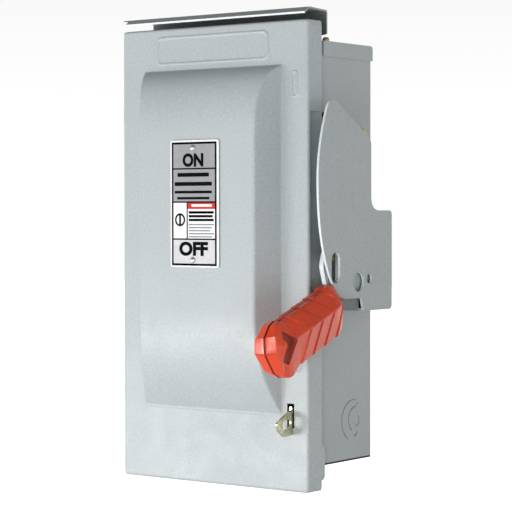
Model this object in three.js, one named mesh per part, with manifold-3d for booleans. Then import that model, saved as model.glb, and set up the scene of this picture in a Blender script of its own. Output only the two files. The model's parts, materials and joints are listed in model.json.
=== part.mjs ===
// Wall-mounted safety switch: a folded sheet-steel enclosure with a hinged door, a side-operated
// handle behind a guard plate, and a two-pole fused switch inside.
//
// Millimetres, +Z up. The wall is the plane y = 0 and the front faces -Y; x = 0 and z = 0 are the
// middle of the door. Everything is laid out behind the door face (y counts back from it), and one
// outer group then moves the whole object so that its back lies on the wall.

import * as THREE from 'three';
import { mergeVertices } from 'three/addons/utils/BufferGeometryUtils.js';
import Module from 'manifold-3d';

const wasm = await Module();
wasm.setup();

// ---- driving dimensions ----
const SHEET = 1.5;            // steel sheet
const GAP = 0.3;              // clearance between touching pieces
const DOOR_W = 195;
const DOOR_H = 381;
const DOOR_FLANGE = 18.6;     // how far the door's edges fold back
const BOX_DEPTH = 95;         // door face to wall
const BOX_W = 190;
const BOX_TOP = 174.5;
const BOX_BOTTOM = -170.6;
const BOX_FRONT = 4;          // the side walls reach into the door this far behind its face
const FRONT_RETURN = 6;       // width of the side walls' inturned front edges

const KEYHOLE = { z: 158, r: 6, neck: 3, reach: 10 };
const WALL_HOLES = { x: 60, z: -140, r: 3.6 };
const KNOCKOUT = { y: 66.5, z: -137, radii: [17.6, 14, 10.8], groove: 0.9, deep: 0.8 };
const CONDUIT_HOLES = { x: 55, y: 60, r: 14 };         // knockouts in the bottom wall
const END_FLANGE = { t: 1.2, corner: 3, height: 12.5 };  // side flanges of the top wall
const HOOD = { top: 200.2, front: 1.2, web: 34, frontHalf: 97, rearHalf: 92.5, lip: [5.5, 4.2], foot: 14 };
const CAP_SCREWS = { x: 86, y: 41, r: 3, height: 4.4 };
const HUB_SCREWS = { x: 24, y: 71, r: 4, height: 3.2 };
const HUB_PLATE = { half: 34, front: 51, back: 91, t: 1.5 };

const PANEL = { left: -72, right: 71, top: 155, bottom: -128.6, rise: 23, draft: 11.5 };
const NOTCH = { bottom: -36, top: 117, front: 2.6 };   // where the door's right flange is cut back
const DOOR_TAB = { back: 23, bottom: -182, top: -154 };
const MARKS = { length: 21.5, rise: 0.6, at: [[84, 139, 6.4], [86, -83, 10.5]] };  // x, z, width
const LABEL_PLATE = { half: 25.3, bottom: -9.5, top: 95, t: 0.8 };
const LABEL_RIVETS = { x: -1.6, z: [88.5, -3.5], r: 2.6, height: 1.6 };
const HINGE = { x: -101, y: 21, r: 3.5, pin: 1.8, heights: [118, -118], length: 42, knuckle: 14, t: 1.5 };
const LATCH = { x: 79.7, z: -128.8, width: 7.2, height: 19.8, hasp: 81, t: 2.2 };
const HASP_PIN = { y: 8, z: -126, r: 1.8 };

const GUARD = { x: 115.5, t: 2, bottom: -45, back: 95 };
const GUARD_HOLES = { slot: [12.6, -9, 12, 25], large: [45.3, -21.3, 7.8], small: [61, -19, 4] };
const STOP_BOLT = { y: 74, z: 99, washer: 7.5, head: 5.6 };
const PIVOT = { y: 48, z: 54 };                        // the handle's axis, parallel to x
const SHAFT = { r: 6, end: 4.2, from: 62.5 };
const ARM = { x0: 107, x1: 111 };
const TANG = { length: 60, half: 10.5 };
const GRIP = { y: 17, z: -41.4, pitch: 21, mid: 111.2, inner: 12.4, outer: 13.3, from: 1, to: 100 };
const GRIP_SCREWS = { along: [30, 72], up: 3, head: 2.8, seat: 3.3 };

const ROTOR = { y: 60, z: 84, crank: 18, blade: 40, pin: 2.4 };  // the switch blades' axis
const BLADE_REST = 16;        // degrees that the open blades point above straight ahead
const CROSSBAR = { r: 5, from: -58, to: 57.8, stub: 2.8, stubEnd: 61.2 };
const LINK = { x0: 58.4, x1: 61, half: 6, bore: 3.1 };
const FRAME = { x: 76, t: 2, front: 26, bottom: 30, top: 118 };
const POLES = [-42, 4];       // x of the two poles
const BASE = { left: -68, right: 30, front: 78, barriers: [-67, -19, 29], barrierDepth: 22 };
const LINE_BASE = { bottom: 62, top: 151, barriersFrom: 110 };
const FUSE_BASE = { bottom: -84, top: 34, barriersFrom: -84 };
const JAW = { t: 1.8, inside: 1.9, foot: 8 };
const FUSE = { y: 62, r: 7.1, top: 24, bottom: -27, cap: 13, clips: [17, -20] };
const LUG = { half: 7.5, deep: 16, bore: 4, screw: 3.2, line: 140, load: -68 };
const GROUND = { x: 60, z: -104, half: 6 };

// ---- colours ----
function finish(color, roughness, metalness) {
  return new THREE.MeshStandardMaterial({ color, roughness, metalness });
}
const paint = (color, roughness = 0.45) => finish(color, roughness, 0.1);
const metal = (color, roughness = 0.35) => finish(color, roughness, 0.9);
const plastic = (color, roughness = 0.4) => finish(color, roughness, 0);
const GREY_PAINT = paint(0xb4bbbb);
const ZINC = metal(0xb8a468);
const STEEL = metal(0xb9bcbd);
const COPPER = metal(0xc08457);
const TINNED = metal(0xc9ccce);
const RED_PLASTIC = plastic(0xcf3f26);
const BLACK_PLASTIC = plastic(0x2b2c2e);
const TUBE_PAPER = plastic(0x3d6f9c, 0.7);
const CLEAR = plastic(0xdfe7e8, 0.1);
CLEAR.transparent = true;
CLEAR.opacity = 0.35;
const LABEL = plastic(0xd9dcda, 0.5);

// ---- solids ----
function solid(geometry) {
  const bare = geometry.clone();
  for (const name of Object.keys(bare.attributes)) if (name !== 'position') bare.deleteAttribute(name);
  const merged = mergeVertices(bare, 1e-4);
  const vertProperties = new Float32Array(merged.attributes.position.array);
  const triVerts = new Uint32Array(merged.index.array);
  return new wasm.Manifold(new wasm.Mesh({ numProp: 3, vertProperties, triVerts }));
}

function geometryOf(body) {
  const mesh = body.getMesh();
  const geometry = new THREE.BufferGeometry();
  geometry.setAttribute('position', new THREE.BufferAttribute(new Float32Array(mesh.vertProperties), 3));
  geometry.setIndex(new THREE.BufferAttribute(new Uint32Array(mesh.triVerts), 1));
  return geometry;
}

const combine = (shapes, step) => geometryOf(shapes.map(solid).reduce(step));
const join = (...shapes) => combine(shapes, (a, b) => a.add(b));
const cut = (...shapes) => combine(shapes, (a, b) => a.subtract(b));
const common = (...shapes) => combine(shapes, (a, b) => a.intersect(b));

function box(x0, x1, y0, y1, z0, z1) {
  const block = new THREE.BoxGeometry(x1 - x0, y1 - y0, z1 - z0);
  return block.translate((x0 + x1) / 2, (y0 + y1) / 2, (z0 + z1) / 2);
}

const [X, Y, Z] = [[1, 0, 0], [0, 1, 0], [0, 0, 1]].map((axis) => new THREE.Vector3(...axis));
const AXES = {
  x: new THREE.Matrix4().makeBasis(Y, Z, X),
  y: new THREE.Matrix4().makeBasis(Z, X, Y),
  z: new THREE.Matrix4(),
};

// An outline pushed from one height to another along an axis. The outline's two coordinates are
// (y, z) along x, (z, x) along y and (x, y) along z.
function slab(axis, shape, from, to, curveSegments = 4) {
  const [low, high] = ordered(from, to);
  const push = new THREE.ExtrudeGeometry(shape, { depth: high - low, bevelEnabled: false, curveSegments });
  return push.translate(0, 0, low).applyMatrix4(AXES[axis]);
}

// A straight rod along an axis through the point (u, v) of the plane across it.
function rod(axis, u, v, r, from, to, sides = 20, rTo = r) {
  const geometry = new THREE.CylinderGeometry(rTo, r, to - from, sides);
  return geometry.rotateX(Math.PI / 2).translate(u, v, (from + to) / 2).applyMatrix4(AXES[axis]);
}

// A closed outline through corners [u, v, radius], each corner rounded by its own radius.
function outline(corners) {
  const shape = new THREE.Shape();
  corners.forEach(([u, v, r = 0], i) => {
    const here = new THREE.Vector2(u, v);
    const before = new THREE.Vector2(...corners.at(i - 1).slice(0, 2));
    const after = new THREE.Vector2(...corners[(i + 1) % corners.length].slice(0, 2));
    const reach = Math.min(r, 0.45 * here.distanceTo(before), 0.45 * here.distanceTo(after));
    const start = here.clone().add(before.sub(here).setLength(reach));
    const end = here.clone().add(after.sub(here).setLength(reach));
    if (i === 0) shape.moveTo(start.x, start.y);
    else shape.lineTo(start.x, start.y);
    if (r > 0) shape.quadraticCurveTo(u, v, end.x, end.y);
  });
  shape.closePath();
  return shape;
}

const ordered = (...ends) => ends.sort((a, b) => a - b);

const rectangle = (u0, u1, v0, v1, r = 0) => outline([[u0, v0, r], [u1, v0, r], [u1, v1, r], [u0, v1, r]]);

function obround(u, v, width, length) {
  const r = width / 2;
  const reach = length / 2 - r;
  const shape = new THREE.Shape();
  shape.absarc(u, v + reach, r, 0, Math.PI, false);
  shape.absarc(u, v - reach, r, Math.PI, 2 * Math.PI, false);
  return shape;
}

function piece(parent, name, geometry, material) {
  const mesh = new THREE.Mesh(geometry, material);
  mesh.name = name;
  parent.add(mesh);
}

// ---- enclosure ----
const HALF = BOX_W / 2;

function knockoutGrooves(x, depth) {
  return KNOCKOUT.radii.map((r) => {
    const inner = r - KNOCKOUT.groove;
    const ring = [[inner, 0], [r, 0], [r, depth + 1], [inner, depth + 1], [inner, 0]];
    const groove = new THREE.LatheGeometry(ring.map(([u, v]) => new THREE.Vector2(u, v)), 32);
    return groove.rotateZ(-Math.PI / 2).translate(x - depth, KNOCKOUT.y, KNOCKOUT.z);
  });
}

// A keyhole at the top and two plain holes below, for the screws into the wall.
function wallHoles() {
  const [from, to] = [BOX_DEPTH - 5, BOX_DEPTH + 5];
  const { z, r, neck, reach } = KEYHOLE;
  const keyhole = join(rod('y', z, 0, r, from, to), box(-neck, neck, from, to, z, z + reach));
  const lower = [-1, 1].map((side) => rod('y', WALL_HOLES.z, side * WALL_HOLES.x, WALL_HOLES.r, from, to));
  return [keyhole, ...lower];
}

function boxShell() {
  const top = BOX_TOP - SHEET - GAP;
  const bottom = BOX_BOTTOM + SHEET + GAP;
  const mouth = HALF - FRONT_RETURN;
  const shell = cut(
    box(-HALF, HALF, BOX_FRONT, BOX_DEPTH, bottom, top),
    box(-HALF + SHEET, HALF - SHEET, BOX_FRONT + SHEET, BOX_DEPTH - SHEET, bottom - 1, top + 1),
    box(-mouth, mouth, BOX_FRONT - 1, BOX_FRONT + SHEET + 1, bottom - 1, top + 1),
  );
  const shaftHole = rod('x', PIVOT.y, PIVOT.z, SHAFT.r + 3, HALF - 5, HALF + 5, 24);
  const window = box(HALF - 5, HALF + 5, DOOR_FLANGE + 4, DOOR_FLANGE + 15, NOTCH.bottom, NOTCH.top);
  return cut(shell, shaftHole, window, ...wallHoles(), ...knockoutGrooves(HALF, KNOCKOUT.deep));
}

// An end wall closes the folded box: a flat plate whose front edge turns outward behind the door.
function endWall(level, outward, lip) {
  const inner = level - outward * SHEET;
  const front = DOOR_FLANGE - 3;
  const plate = box(-HALF, HALF, front, BOX_DEPTH, ...ordered(level, inner));
  return join(plate, box(-HALF, HALF, front, front + SHEET, ...ordered(level + outward * lip, inner)));
}

// The top wall is a cap, with side flanges that come down outside the side walls.
function topEndCap() {
  const { t, corner, height } = END_FLANGE;
  const side = HALF + GAP + t;
  const behindDoor = DOOR_FLANGE + 5;
  const rear = BOX_DEPTH - 1;
  const end = BOX_TOP - height;
  const profile = [[behindDoor, end], [rear, end], [rear, BOX_TOP, corner], [behindDoor, BOX_TOP]];
  const flanges = [-1, 1].map((s) => slab('x', outline(profile), s * (HALF + GAP), s * side));
  const wide = box(-side, side, behindDoor, BOX_DEPTH, BOX_TOP - SHEET, BOX_TOP);
  return join(endWall(BOX_TOP, 1, 11.5), wide, ...flanges);
}

function bottomEndWall() {
  const { x, y, r } = CONDUIT_HOLES;
  const grooves = [-x, x].map((place) => cut(
    rod('z', place, y, r, BOX_BOTTOM - 1, BOX_BOTTOM + KNOCKOUT.deep, 32),
    rod('z', place, y, r - KNOCKOUT.groove, BOX_BOTTOM - 2, BOX_BOTTOM + 2, 32),
  ));
  return cut(endWall(BOX_BOTTOM, -1, 15), ...grooves);
}

// The rain hood: a roof over the door's top edge, a lip turned down in front, and a web that comes
// down behind the door and turns back to lie on the top wall.
function rainHood() {
  const { top, front, web, lip } = HOOD;
  const seat = BOX_TOP + GAP;
  const section = outline([
    [front - lip[0], top - lip[1]], [front, top], [web, top, 2.5], [web, seat + SHEET],
    [web + HOOD.foot, seat + SHEET], [web + HOOD.foot, seat], [web - SHEET, seat],
    [web - SHEET, top - SHEET], [front + 0.6, top - SHEET], [front - lip[0] + 1, top - lip[1] - 1.2],
  ]);
  const bent = slab('x', section, -HOOD.frontHalf, HOOD.frontHalf);
  const wide = [[HOOD.frontHalf, -10], [HOOD.frontHalf, front + 2]];
  const narrow = [[HOOD.rearHalf, web - 4], [HOOD.rearHalf, web + 30]];
  const edge = [...wide, ...narrow];
  const plan = outline([...edge, ...edge.map(([x, y]) => [-x, y]).reverse()]);
  const end = [[top + 5, 100], [188, 100], [180.5, HOOD.rearHalf + 1, 4], [179.5, 82], [seat - 1, 82]];
  const face = outline([...end.map(([z, x, r]) => [z, -x, r]).reverse(), ...end]);
  return common(bent, slab('z', plan, 150, 220), slab('y', face, -20, 80));
}

// A domed head standing on the plane z = 0, with its axis along +Z.
function panHead(r, height) {
  const profile = [[0, 0], [r, 0], [r, height * 0.45], [r * 0.6, height * 0.9], [0, height], [0, 0]];
  const head = new THREE.LatheGeometry(profile.map(([u, v]) => new THREE.Vector2(u, v)), 14);
  return head.rotateX(Math.PI / 2);
}

const standingScrew = ({ x, y, r, height }, side, z) => panHead(r, height).translate(side * x, y, z);

function addTopHardware(parent) {
  const seat = BOX_TOP + GAP;
  const { half, front, back, t } = HUB_PLATE;
  const plate = slab('z', rectangle(-half, half, front, back, 5), seat, seat + t);
  piece(parent, 'hub_closure_plate', plate, GREY_PAINT);
  [-1, 1].forEach((side, i) => {
    piece(parent, `hub_screw_${i + 1}`, standingScrew(HUB_SCREWS, side, seat + t + GAP), ZINC);
    piece(parent, `cap_screw_${i + 1}`, standingScrew(CAP_SCREWS, side, seat), ZINC);
  });
}

// ---- door ----
function raisedPanel(rise, inset) {
  const { left, right, top, bottom, draft } = PANEL;
  const side = new THREE.Shape();
  side.moveTo(2, top - inset);
  side.quadraticCurveTo(-rise * 0.62, top - 6 - inset, -rise * 0.9, top - 24);
  side.quadraticCurveTo(-rise, top - 34, -rise, top - 58);
  side.lineTo(-rise, -45);
  side.quadraticCurveTo(-rise * 0.98, -98, 2, bottom + inset);
  side.closePath();
  const across = outline([
    [left + inset, 2], [right - inset, 2], [right - inset, 0], [right - draft - inset, -rise],
    [left + draft + inset, -rise], [left + inset, 0],
  ]);
  return common(slab('x', side, left, right, 8), slab('z', across, bottom, top));
}

function doorPanel() {
  const w = DOOR_W / 2;
  const h = DOOR_H / 2;
  const marks = MARKS.at.map(([x, z, width]) => {
    const long = MARKS.length / 2;
    const wide = width / 2;
    return slab('y', rectangle(z - long, z + long, x - wide, x + wide, wide), -MARKS.rise, 1, 3);
  });
  const outside = join(
    slab('y', rectangle(-h, h, -w, w, 3), 0, DOOR_FLANGE, 2),
    raisedPanel(PANEL.rise, 0),
    box(w - SHEET, w, DOOR_FLANGE - 2, DOOR_TAB.back, DOOR_TAB.bottom, DOOR_TAB.top),
    ...marks,
  );
  const [slotW, slotH] = [LATCH.width / 2, LATCH.height / 2];
  return cut(
    outside,
    slab('y', rectangle(-h + SHEET, h - SHEET, -w + SHEET, w - SHEET, 2), SHEET, 40, 2),
    raisedPanel(PANEL.rise - SHEET, SHEET),
    box(LATCH.x - slotW, LATCH.x + slotW, -3, 5, LATCH.z - slotH, LATCH.z + slotH),
    box(w - 10, w + 1, NOTCH.front, 40, NOTCH.bottom, NOTCH.top),
  );
}

function addDoor(parent) {
  piece(parent, 'door_panel', doorPanel(), GREY_PAINT);
  const front = -PANEL.rise - GAP;
  const { half, bottom, top, t } = LABEL_PLATE;
  const plate = slab('y', rectangle(bottom, top, -half, half, 1.5), front - t, front, 2);
  piece(parent, 'label_plate', plate, LABEL);
  LABEL_RIVETS.z.forEach((z, i) => {
    const rivet = panHead(LABEL_RIVETS.r, LABEL_RIVETS.height).rotateX(Math.PI / 2);
    piece(parent, `label_rivet_${i + 1}`, rivet.translate(LABEL_RIVETS.x, front - t - GAP, z), STEEL);
  });
}

// ---- hinges ----
const barrel = (z0, z1) => rod('z', HINGE.x, HINGE.y, HINGE.r, z0, z1, 18);
const barrelBore = (z0, z1) => rod('z', HINGE.x, HINGE.y, HINGE.pin + 0.35, z0 - 1, z1 + 1, 16);

function fixedLeaf(z) {
  const half = HINGE.length / 2;
  const knuckle = HINGE.knuckle - GAP;
  const ends = [[z - half, z - half + knuckle], [z + half - knuckle, z + half]];
  const necks = ends.map(([z0, z1]) => box(HINGE.x, -HALF - GAP, HINGE.y + 2.2, HINGE.y + 4, z0, z1));
  const leaf = box(-HALF - GAP - HINGE.t, -HALF - GAP, HINGE.y + 2.2, HINGE.y + 24, z - half, z + half);
  const barrels = ends.map(([z0, z1]) => barrel(z0, z1));
  return cut(join(leaf, ...necks, ...barrels), barrelBore(z - half, z + half));
}

function doorLeaf(z) {
  const half = HINGE.length / 2 - HINGE.knuckle - GAP;
  const outer = -DOOR_W / 2 - GAP;
  const leaf = box(outer - HINGE.t + 0.1, outer, 3, 17, z - half, z + half);
  const neck = box(HINGE.x, outer, HINGE.y - 4.8, HINGE.y - 2.4, z - half, z + half);
  return cut(join(leaf, neck, barrel(z - half, z + half)), barrelBore(z - half, z + half));
}

function hingePin(z) {
  const half = HINGE.length / 2;
  return join(
    rod('z', HINGE.x, HINGE.y, HINGE.pin, z - half - 1, z + half + GAP + 0.2, 14),
    rod('z', HINGE.x, HINGE.y, HINGE.r, z + half + GAP, z + half + 2, 18),
  );
}

function addHinges(parent) {
  HINGE.heights.forEach((z, i) => {
    const place = ['upper', 'lower'][i];
    piece(parent, `hinge_leaf_${place}`, fixedLeaf(z), GREY_PAINT);
    piece(parent, `door_leaf_${place}`, doorLeaf(z), GREY_PAINT);
    piece(parent, `hinge_pin_${place}`, hingePin(z), STEEL);
  });
}

// ---- latch ----
function latchBracket() {
  const x = LATCH.x;
  const [front, back] = [SHEET + GAP, SHEET + GAP + 1.5];
  const [bottom, top] = [-152, -119];
  const foot = box(x - 8.6, x + 8.6, front, back, bottom, bottom + 10);
  const ears = [-6, 6].map((side) => box(x + side - 1, x + side + 1, front, 13, bottom, top));
  const edges = [-6.8, 6.8].map((side) => box(x + side - 1.8, x + side + 1.8, front, back, bottom, top));
  const pin = rod('x', HASP_PIN.y, HASP_PIN.z, HASP_PIN.r, x - 6.5, x + 6.5, 14);
  return join(foot, ...ears, ...edges, pin);
}

// The hasp comes out through the door's slot and ends in a large eye for a padlock.
function latchHasp() {
  const { hasp, t } = LATCH;
  const side = outline([
    [12, -119], [12, -131, 3], [3, -136.5], [-0.8, -138.2], [-0.8, -144.2, 1], [-12, -145, 3],
    [-18.6, -140, 1.5], [-22, -133.2, 2], [-9, -126.8, 2], [3, -123], [8, -119],
  ]);
  const eye = outline([
    [-5, -130, 2], [-13.5, -132, 2.5], [-14.5, -137, 2], [-12, -140.5, 1.5], [-3, -137.5, 2], [-1.8, -133, 2],
  ]);
  return cut(
    slab('x', side, hasp - t / 2, hasp + t / 2, 6),
    slab('x', eye, hasp - 5, hasp + 5, 3),
    rod('x', HASP_PIN.y, HASP_PIN.z, HASP_PIN.r + 0.35, hasp - 5, hasp + 5, 16),
  );
}

// ---- handle guard ----
// The guard's side: a bowed front edge, a slanted top, and a step down at the back to a lower corner.
function guardPlate() {
  const { x, t, bottom, back } = GUARD;
  const edge = new THREE.Shape();
  edge.moveTo(7.2, -20.2);
  edge.bezierCurveTo(-6, 1, -11.6, 28, -11.6, 61);
  edge.bezierCurveTo(-11.6, 82, -6.5, 101, 1, 119.4);
  edge.quadraticCurveTo(4.5, 126.5, 12, 125.2);
  edge.lineTo(60, 97.5);
  edge.quadraticCurveTo(64, 95, 64, 90);
  edge.lineTo(64, 49);
  edge.quadraticCurveTo(64.2, 37.1, 76, 37.1);
  edge.lineTo(back - 4, 37.1);
  edge.quadraticCurveTo(back, 37.1, back, 33);
  edge.lineTo(back, bottom + 4);
  edge.quadraticCurveTo(back, bottom, back - 4, bottom);
  edge.lineTo(53, bottom);
  edge.lineTo(49.5, -34.4);
  edge.lineTo(27, -34.4);
  edge.quadraticCurveTo(15, -33, 7.2, -20.2);
  return slab('x', edge, x - t, x, 8);
}

function handleGuard() {
  const { x, t, bottom, back } = GUARD;
  const wall = HALF + GAP;
  const top = 30;
  const plan = outline([[wall, 34, 3], [x, 34, 3], [x, back - 4], [wall, back - 4]]);
  const floor = slab('z', plan, bottom, bottom + t, 3);
  const rear = box(wall, x - t / 2, back - 4, back - 2, bottom, top);
  const foot = box(wall, wall + t, 66, back - 3, bottom + 1, top);
  const { large, small, slot } = GUARD_HOLES;
  const holes = [large, small].map(([y, z, r]) => rod('x', y, z, r, x - 5, x + 5, 24));
  return cut(join(guardPlate(), floor, rear, foot), slab('x', obround(...slot), x - 5, x + 5, 8), ...holes);
}

function addGuard(parent) {
  piece(parent, 'handle_guard', handleGuard(), GREY_PAINT);
  const { y, z, washer, head } = STOP_BOLT;
  const flange = rod('x', y, z, washer, HALF + GAP, HALF + 1.8);
  piece(parent, 'stop_bolt', join(flange, rod('x', y, z, head, HALF + 1, HALF + 7, 6)), ZINC);
}

// ---- handle ----
// A point on the grip, given as its distance along the grip and its height across it.
function onGrip(along, up) {
  const pitch = THREE.MathUtils.degToRad(GRIP.pitch);
  return [
    GRIP.y - along * Math.cos(pitch) - up * Math.sin(pitch),
    GRIP.z - along * Math.sin(pitch) + up * Math.cos(pitch),
  ];
}

// The arm hangs on the shaft and ends in a straight tang inside the grip.
function handleArm() {
  const { length, half } = TANG;
  const arm = outline([
    [34, 66, 8], [2.5, -1, 3], [1.2, -8, 3], [...onGrip(3.5, 21), 1], onGrip(6, half),
    onGrip(length, half), onGrip(length, -half), onGrip(0, -half),
    [24, -52, 2], [38, -35, 2], [48, -20, 4], [62, 46, 9], [54, 70, 9],
  ]);
  return cut(
    slab('x', arm, ARM.x0, ARM.x1, 3),
    rod('x', PIVOT.y, PIVOT.z, SHAFT.end + 0.4, ARM.x0 - 5, ARM.x1 + 5, 20),
    slab('x', outline([[8, 3, 4], [24, 3, 4], [24, -21, 4], [8, -21, 4]]), ARM.x0 - 5, ARM.x1 + 5, 6),
  );
}

// Where a crank's pin stands with the switch open: a crank's length from its axis, along the blades.
function crankPin(axis) {
  const angle = THREE.MathUtils.degToRad(BLADE_REST);
  return [axis.y - ROTOR.crank * Math.cos(angle), axis.z + ROTOR.crank * Math.sin(angle)];
}

function operatingShaft() {
  const [y, z] = crankPin(PIVOT);
  const crank = outline([
    [PIVOT.y + 8, PIVOT.z - 8, 5], [PIVOT.y + 8, PIVOT.z + 8, 5], [y - 5, z + 6, 4], [y - 5, z - 6, 4],
  ]);
  return join(
    rod('x', PIVOT.y, PIVOT.z, SHAFT.r, SHAFT.from, ARM.x0 - GAP),
    rod('x', PIVOT.y, PIVOT.z, SHAFT.end, ARM.x0 - GAP - 1, ARM.x1 + 1.9),
    slab('x', crank, LINK.x1 + 1, LINK.x1 + 4),
    rod('x', y, z, CROSSBAR.stub, LINK.x0 - 0.2, LINK.x1 + 2, 16),
  );
}

function pivotNut() {
  const nut = rod('x', PIVOT.y, PIVOT.z, 8, ARM.x1 + GAP, ARM.x1 + 2.1, 6);
  return cut(nut, rod('x', PIVOT.y, PIVOT.z, SHAFT.end + GAP, ARM.x0, ARM.x1 + 10));
}

// A lock tab on the inner face of the arm, behind the guard's padlock slot.
function lockTab() {
  const tab = outline([[9, 6, 2], [27, 6, 2], [27, -3, 2], [10, -6, 2]]);
  return slab('x', tab, ARM.x0 - GAP - 2, ARM.x0 - GAP, 3);
}

// The grip's own axes: forward along the grip, up across it, and x as on the rest of the switch.
const gripTilt = new THREE.Matrix4().makeRotationX(THREE.MathUtils.degToRad(GRIP.pitch));
gripTilt.setPosition(0, GRIP.y, GRIP.z);

// The grip's length is cut from three views: its cross-section, its side outline and its top outline.
function gripBody(side) {
  const { from, to, mid } = GRIP;
  const half = side > 0 ? GRIP.outer : GRIP.inner;
  const corners = [[5, 22.5, 1], [half, 5, 1], [half, 1, 1], [6, -19.5, 1]];
  const skin = corners.map(([across, up, r]) => [up, mid + side * across, r]);
  const section = outline([[22.5, mid], ...skin, [-19.5, mid]]);
  const fromSide = outline([
    [-from, 15, 3], [-10, 21.5, 4], [-77, 20.5, 2], [-84, 24, 4], [-95, 19, 5], [-100.5, 4, 6],
    [-98.5, -8, 5], [-90, -20, 5], [-79, -23.5, 5], [-66, -18, 3], [-8, -18, 3], [-from, -12, 3],
  ]);
  const fromAbove = outline([
    [mid, -from], [mid + side * (half - 3), -from], [mid + side * half, -12],
    [mid + side * half, -78], [mid + side * 7, -to - 1], [mid, -to - 1],
  ]);
  const body = common(
    slab('y', section, -to, -from, 2),
    slab('x', fromSide, mid - 20, mid + 20, 3),
    slab('z', fromAbove, -40, 40),
  );
  return body.applyMatrix4(gripTilt);
}

function gripHalf(side) {
  const face = GRIP.mid + side * GAP / 2;
  const keep = box(...ordered(face, face + side * 40), -200, 100, -200, 100);
  const [x0, x1] = [ARM.x0 - GAP, ARM.x1 + GAP];
  const half = TANG.half + GAP;
  const pocket = join(box(x0, x1, -TANG.length - 1, 10, -half, half), box(x0, x1, -7, 10, -14, 30));
  return cut(common(gripBody(side), keep), pocket.applyMatrix4(gripTilt));
}

// Screws that come in from the inner side and draw the two halves together over the arm.
function gripScrew(along) {
  const head = panHead(GRIP_SCREWS.head, 1.4).rotateY(-Math.PI / 2);
  return head.translate(GRIP.mid - GRIP.inner + 1.7, -along, GRIP_SCREWS.up).applyMatrix4(gripTilt);
}

function gripScrewSeat(along) {
  const deep = GRIP.mid - GRIP.inner + 2;
  return rod('x', -along, GRIP_SCREWS.up, GRIP_SCREWS.seat, deep - 10, deep, 16).applyMatrix4(gripTilt);
}

function addHandle(parent) {
  piece(parent, 'operating_shaft', operatingShaft(), STEEL);
  piece(parent, 'handle_arm', handleArm(), GREY_PAINT);
  piece(parent, 'pivot_nut', pivotNut(), ZINC);
  piece(parent, 'lock_tab', lockTab(), ZINC);
  piece(parent, 'grip_outer_half', gripHalf(1), RED_PLASTIC);
  const { along } = GRIP_SCREWS;
  piece(parent, 'grip_inner_half', cut(gripHalf(-1), ...along.map(gripScrewSeat)), RED_PLASTIC);
  along.forEach((place, i) => piece(parent, `grip_screw_${i + 1}`, gripScrew(place), STEEL));
}

// ---- switch mechanism ----
function shaftBearing() {
  const sleeve = rod('x', PIVOT.y, PIVOT.z, 8.6, HALF - 8, HALF + 1, 24);
  const flange = rod('x', PIVOT.y, PIVOT.z, 12, HALF + GAP, HALF + 4, 24);
  return cut(join(sleeve, flange), rod('x', PIVOT.y, PIVOT.z, SHAFT.r + GAP, HALF - 20, HALF + 20, 24));
}

// A bracket off the back wall that carries the shaft's inner end.
function mechanismFrame() {
  const { x, t, front, bottom, top } = FRAME;
  const back = BOX_DEPTH - SHEET - GAP;
  const plate = slab('x', rectangle(front, 70, bottom, top, 5), x, x + t);
  const web = slab('x', rectangle(66, back, bottom + 4, top - 4, 2), x, x + t);
  const foot = box(x, x + 16, back - t, back, bottom + 4, top - 4);
  return cut(join(plate, web, foot), rod('x', PIVOT.y, PIVOT.z, SHAFT.r + 0.4, x - 5, x + 5, 24));
}

// The spring that snaps the handle over, coiled round the shaft.
function torsionSpring() {
  const [turns, steps, radius, start, pitch] = [2.5, 40, 9, 79.8, 2.16];
  const points = Array.from({ length: steps + 1 }, (_, i) => {
    const turn = (i / steps) * turns;
    const angle = turn * 2 * Math.PI;
    return new THREE.Vector3(
      start + turn * pitch,
      PIVOT.y + radius * Math.cos(angle),
      PIVOT.z + radius * Math.sin(angle),
    );
  });
  const wire = new THREE.Shape().absarc(0, 0, 0.9, 0, 2 * Math.PI);
  return new THREE.ExtrudeGeometry(wire, {
    steps, bevelEnabled: false, curveSegments: 6, extrudePath: new THREE.CatmullRomCurve3(points),
  });
}

function driveLink() {
  const { x0, x1, half, bore } = LINK;
  const [top, bottom] = [crankPin(ROTOR), crankPin(PIVOT)];
  const bar = outline([
    [top[0] - half, top[1] + half, 4], [bottom[0] - half, bottom[1] - half, 4],
    [bottom[0] + half, bottom[1] - half, 4], [top[0] + half, top[1] + half, 4],
  ]);
  const bores = [top, bottom].map(([y, z]) => rod('x', y, z, bore, x0 - 5, x1 + 5, 16));
  return cut(slab('x', bar, x0, x1), ...bores);
}

// The insulating bar that carries both blades; its end stub turns in the drive link's eye.
function crossbar() {
  const { r, from, to, stub, stubEnd } = CROSSBAR;
  const [y, z] = crankPin(ROTOR);
  return join(rod('x', y, z, r, from, to, 16), rod('x', y, z, stub, to - 1, stubEnd, 16));
}

function blade(x) {
  const tilt = new THREE.Matrix4().makeRotationX(-THREE.MathUtils.degToRad(BLADE_REST));
  tilt.setPosition(0, ROTOR.y, ROTOR.z);
  const flat = outline([[6, -6, 5], [-ROTOR.blade, -6, 2], [-ROTOR.blade, 6, 3], [6, 6, 5]]);
  return cut(
    slab('x', flat, x - 1.5, x + 1.5).applyMatrix4(tilt),
    rod('x', ROTOR.y, ROTOR.z, ROTOR.pin + 0.4, x - 5, x + 5, 16),
    rod('x', ...crankPin(ROTOR), CROSSBAR.r + 0.2, x - 5, x + 5, 16),
  );
}

// Two springy plates either side of a blade, standing on a foot that lies on the base.
function jaw(x, [z0, z1], reach, footEnds) {
  const back = BASE.front - GAP;
  const foot = box(x - JAW.foot, x + JAW.foot, back - 2, back, ...footEnds);
  const { inside, t } = JAW;
  const plates = [x - inside - t, x + inside].map((left) => box(left, left + t, reach, back - 1, z0, z1));
  return join(foot, ...plates);
}

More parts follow.
